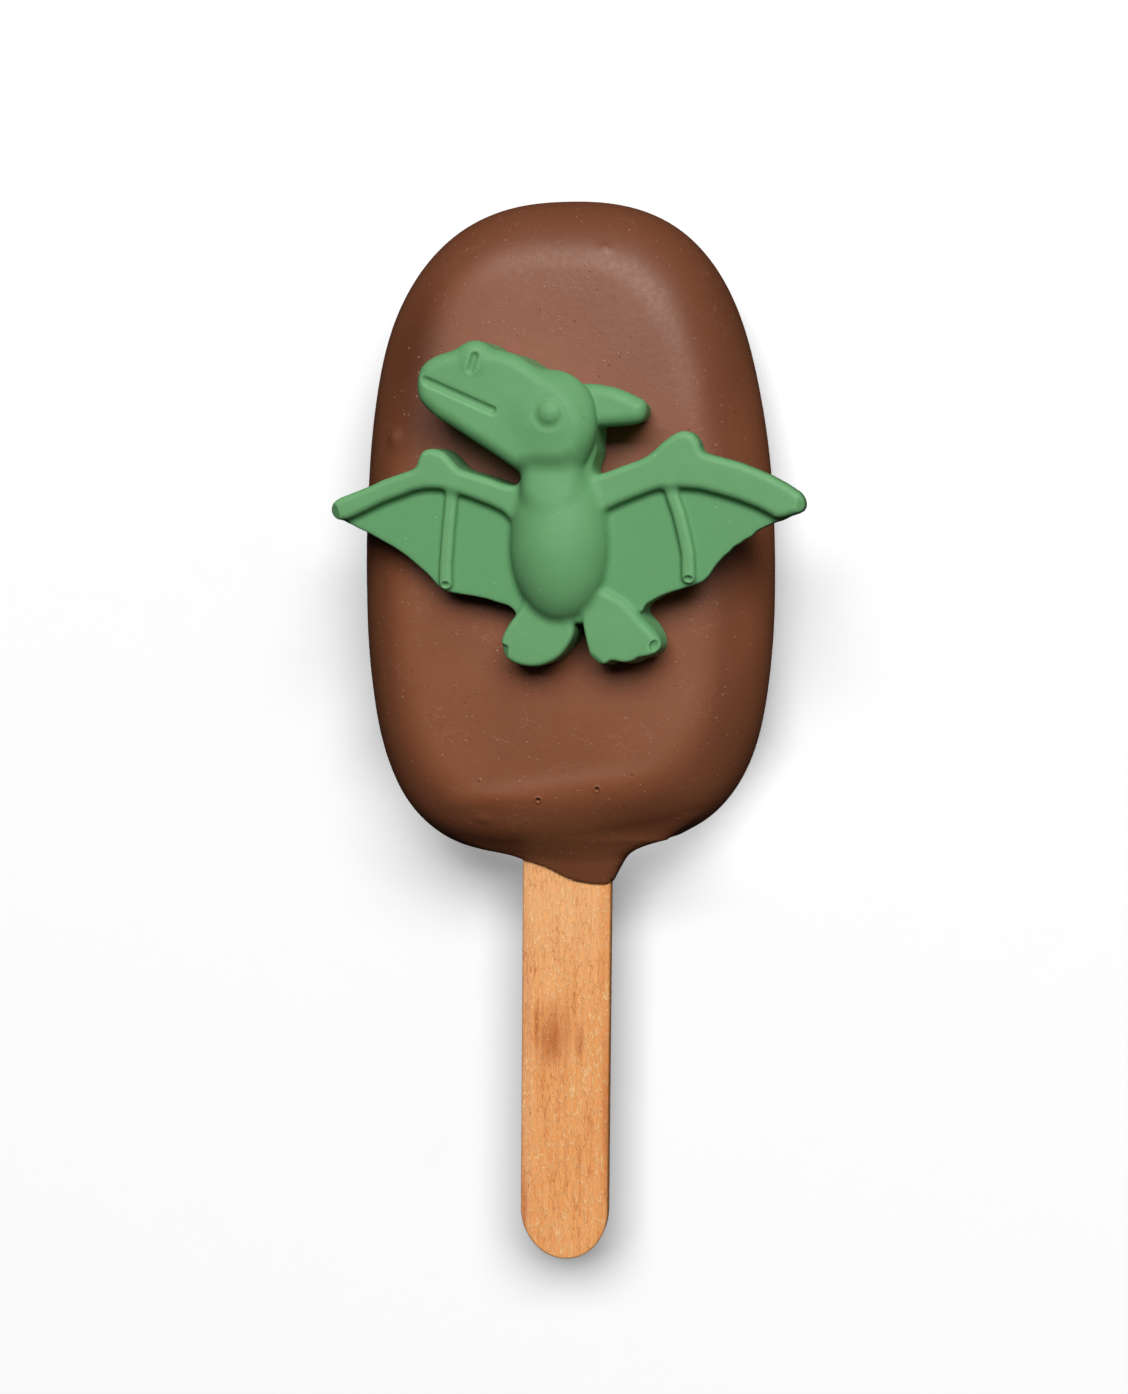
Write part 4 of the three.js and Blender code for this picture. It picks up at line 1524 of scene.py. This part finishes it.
HEAD: tuple[Point2, ...] = (
    (-15.4, 15.2), (-15.3, 16.2), (-14.8, 17.2), (-14.0, 17.85), (-13.0, 18.3), (-11.5, 18.7),
    (-11.0, 18.9), (-10.3, 19.4), (-9.6, 19.7), (-9.0, 19.75), (-8.3, 19.65), (-7.8, 19.25),
    (-7.4, 18.9), (-6.3, 18.75), (-5.0, 18.4), (-4.0, 18.0), (-3.0, 17.35), (-2.0, 16.7),
    (-1.0, 16.05), (0.0, 15.55), (1.0, 14.95), (1.7, 14.4), (2.4, 13.8), (3.1, 12.8),
    (3.7, 11.7), (4.0, 10.6), (4.0, 9.6), (3.8, 8.8), (3.4, 8.0), (2.6, 7.0), (1.0, 6.6),
    (-2.5, 6.6), (-4.45, 6.1), (-5.57, 6.8), (-7.07, 7.8), (-9.15, 9.1), (-11.2, 10.42),
    (-13.2, 11.57), (-14.3, 12.55), (-15.0, 13.25), (-15.35, 14.1),
)

CREST: tuple[Point2, ...] = (
    (1.0, 15.3), (2.0, 15.35), (4.0, 15.25), (6.0, 14.85), (7.3, 14.35), (8.3, 13.85),
    (9.2, 13.4), (9.5, 12.8), (9.5, 12.1), (9.3, 11.4), (8.8, 10.85), (7.9, 10.6),
    (6.5, 10.5), (4.0, 10.35), (1.0, 10.2),
)

LEFT_FOOT: tuple[Point2, ...] = (
    (-4.2, -8.2), (-5.2, -9.7), (-6.0, -10.7), (-6.6, -11.8), (-6.9, -12.65), (-6.85, -13.55),
    (-6.2, -14.45), (-5.4, -14.95), (-4.3, -15.25), (-3.05, -15.3), (-2.05, -15.1),
    (-0.95, -14.6), (-0.15, -14.0), (0.55, -13.1), (1.1, -12.15), (1.3, -11.5), (1.3, -10.6),
    (1.2, -9.0), (0.5, -7.0), (-2.0, -6.0),
)

LEG_FORK: tuple[Disc, ...] = (
    (-1.6, -8.8, 1.8), (1.7, -9.2, 1.35), (4.6, -8.8, 1.6),
)

RIGHT_FOOT: tuple[Point2, ...] = (
    (2.2, -9.6), (2.4, -10.8), (2.55, -11.6), (2.75, -12.5), (3.0, -13.4), (3.1, -13.8),
    (3.35, -14.15), (4.1, -14.75), (4.8, -14.85), (5.2, -14.45), (5.75, -14.4), (6.5, -14.6),
    (7.05, -14.6), (7.8, -14.45), (8.3, -14.05), (9.0, -13.95), (9.6, -13.8), (10.3, -13.45),
    (10.75, -12.9), (10.75, -12.4), (10.55, -11.8), (10.0, -11.1), (9.4, -10.5), (8.8, -9.95),
    (8.15, -9.1), (7.0, -8.0), (6.0, -7.4), (4.7, -6.7), (2.0, -6.5), (1.8, -8.5),
)


# ------------------------------------------------------------------ studio

def aim(place: Vector, back: Vector) -> Matrix:
    """Stand something at a place with its back in a direction and its sides level.

    Args:
        place: Where it stands, in metres.
        back: The direction it faces away from, of length 1.

    Returns:
        Its matrix.
    """
    right = Vector((back.z, 0.0, -back.x)).normalized()
    turn = Matrix((right, back.cross(right), back)).transposed()
    return Matrix.Translation(place) @ turn.to_4x4()


@dataclass(frozen=True)
class PhotoCamera:
    """The camera at the photograph's angle."""

    azimuth: float = math.radians(10.0)
    pitch: float = math.radians(5.5)
    distance: float = 240.0
    target: Point3 = (-0.08, -18.70, 11.0)
    lens: float = 53.61
    sensor: float = 36.0
    near: float = 0.01

    def build(self) -> bpy.types.Object:
        """Place the camera and make it the scene's own.

        Returns:
            The camera.
        """
        back = Vector((math.sin(self.azimuth) * math.cos(self.pitch), math.sin(self.pitch),
                       math.cos(self.azimuth) * math.cos(self.pitch)))
        data = bpy.data.cameras.new("photo_camera")
        data.lens = self.lens
        data.sensor_width = self.sensor
        data.clip_start = self.near
        camera = bpy.data.objects.new("photo_camera", data)
        camera.matrix_world = aim((Vector(self.target) + self.distance * back) * MM, back)
        bpy.context.scene.collection.objects.link(camera)
        bpy.context.scene.camera = camera
        return camera


class Reach(Enum):
    """What a light falls on."""

    SHADE = "diffuse light and shadows only"
    ALL = "diffuse light, shadows and reflections"


@dataclass(frozen=True)
class Softbox:
    """A rectangular light that faces the object."""

    name: str
    direction: Point3
    distance: float
    width: float
    height: float
    radiance: float
    reach: Reach

    def build(self) -> bpy.types.Object:
        """Hang the light. Its power is pi times its area times its radiance.

        Returns:
            The light.
        """
        data = bpy.data.lights.new(self.name, "AREA")
        data.shape = "RECTANGLE"
        data.size = self.width
        data.size_y = self.height
        data.energy = math.pi * self.width * self.height * self.radiance
        light = bpy.data.objects.new(self.name, data)
        back = Vector(self.direction).normalized()
        light.matrix_world = aim(back * self.distance, back)
        light.visible_glossy = self.reach is Reach.ALL
        bpy.context.scene.collection.objects.link(light)
        return light


@dataclass(frozen=True)
class Studio:
    """The floor, the lights and the surrounding brightness."""

    floor_size: float = 1600.0
    floor_cells: int = 8
    world: float = 0.01
    lights: tuple[Softbox, ...] = (
        Softbox("key_softbox", (0.12, 0.5, 0.86), 3.0, 2.6, 1.5, 10.45, Reach.ALL),
        Softbox("right_fill", (0.9, -0.1, 0.4), 3.0, 2.0, 1.5, 0.35, Reach.SHADE),
    )

    def build(self, finish: bpy.types.Material) -> bpy.types.Object:
        """Lay the floor and hang the lights.

        Args:
            finish: Material of the floor.

        Returns:
            The floor.
        """
        row = self.floor_cells + 1
        side = np.linspace(-self.floor_size / 2, self.floor_size / 2, row)
        x, y = np.meshgrid(side, side, indexing="ij")
        points = np.stack([x, y, 0 * x], axis=-1).reshape(-1, 3)
        corner = (np.arange(row - 1)[:, None] * row + np.arange(row - 1)).reshape(-1, 1)
        floor = make_piece("studio_floor", points, corner + [0, row, row + 1, 1], finish)
        floor.visible_diffuse = False
        floor.visible_glossy = False
        for light in self.lights:
            light.build()
        world = bpy.data.worlds.new("studio_world")
        world.use_nodes = True
        background = world.node_tree.nodes["Background"]
        background.inputs["Color"].default_value = (1, 1, 1, 1)
        background.inputs["Strength"].default_value = self.world
        bpy.context.scene.world = world
        bpy.context.scene.view_settings.view_transform = "Standard"
        return floor


def main() -> None:
    """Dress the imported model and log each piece."""
    logging.basicConfig(level=logging.INFO, format="%(message)s")
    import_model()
    effects = Effects()
    PhotoCamera().build()
    Studio().build(FloorFinish().build(effects))
    bar = ChocolateBar()
    for piece in (
        bar.build(ChocolateFinish().build(effects)),
        STICK.build(WoodFinish().build(effects)),
        PterodactylTopper(bar).build(IcingFinish().build(effects)),
    ):
        LOG.info("%s: %d faces", piece.name, len(piece.data.polygons))


if __name__ == "__main__":
    main()
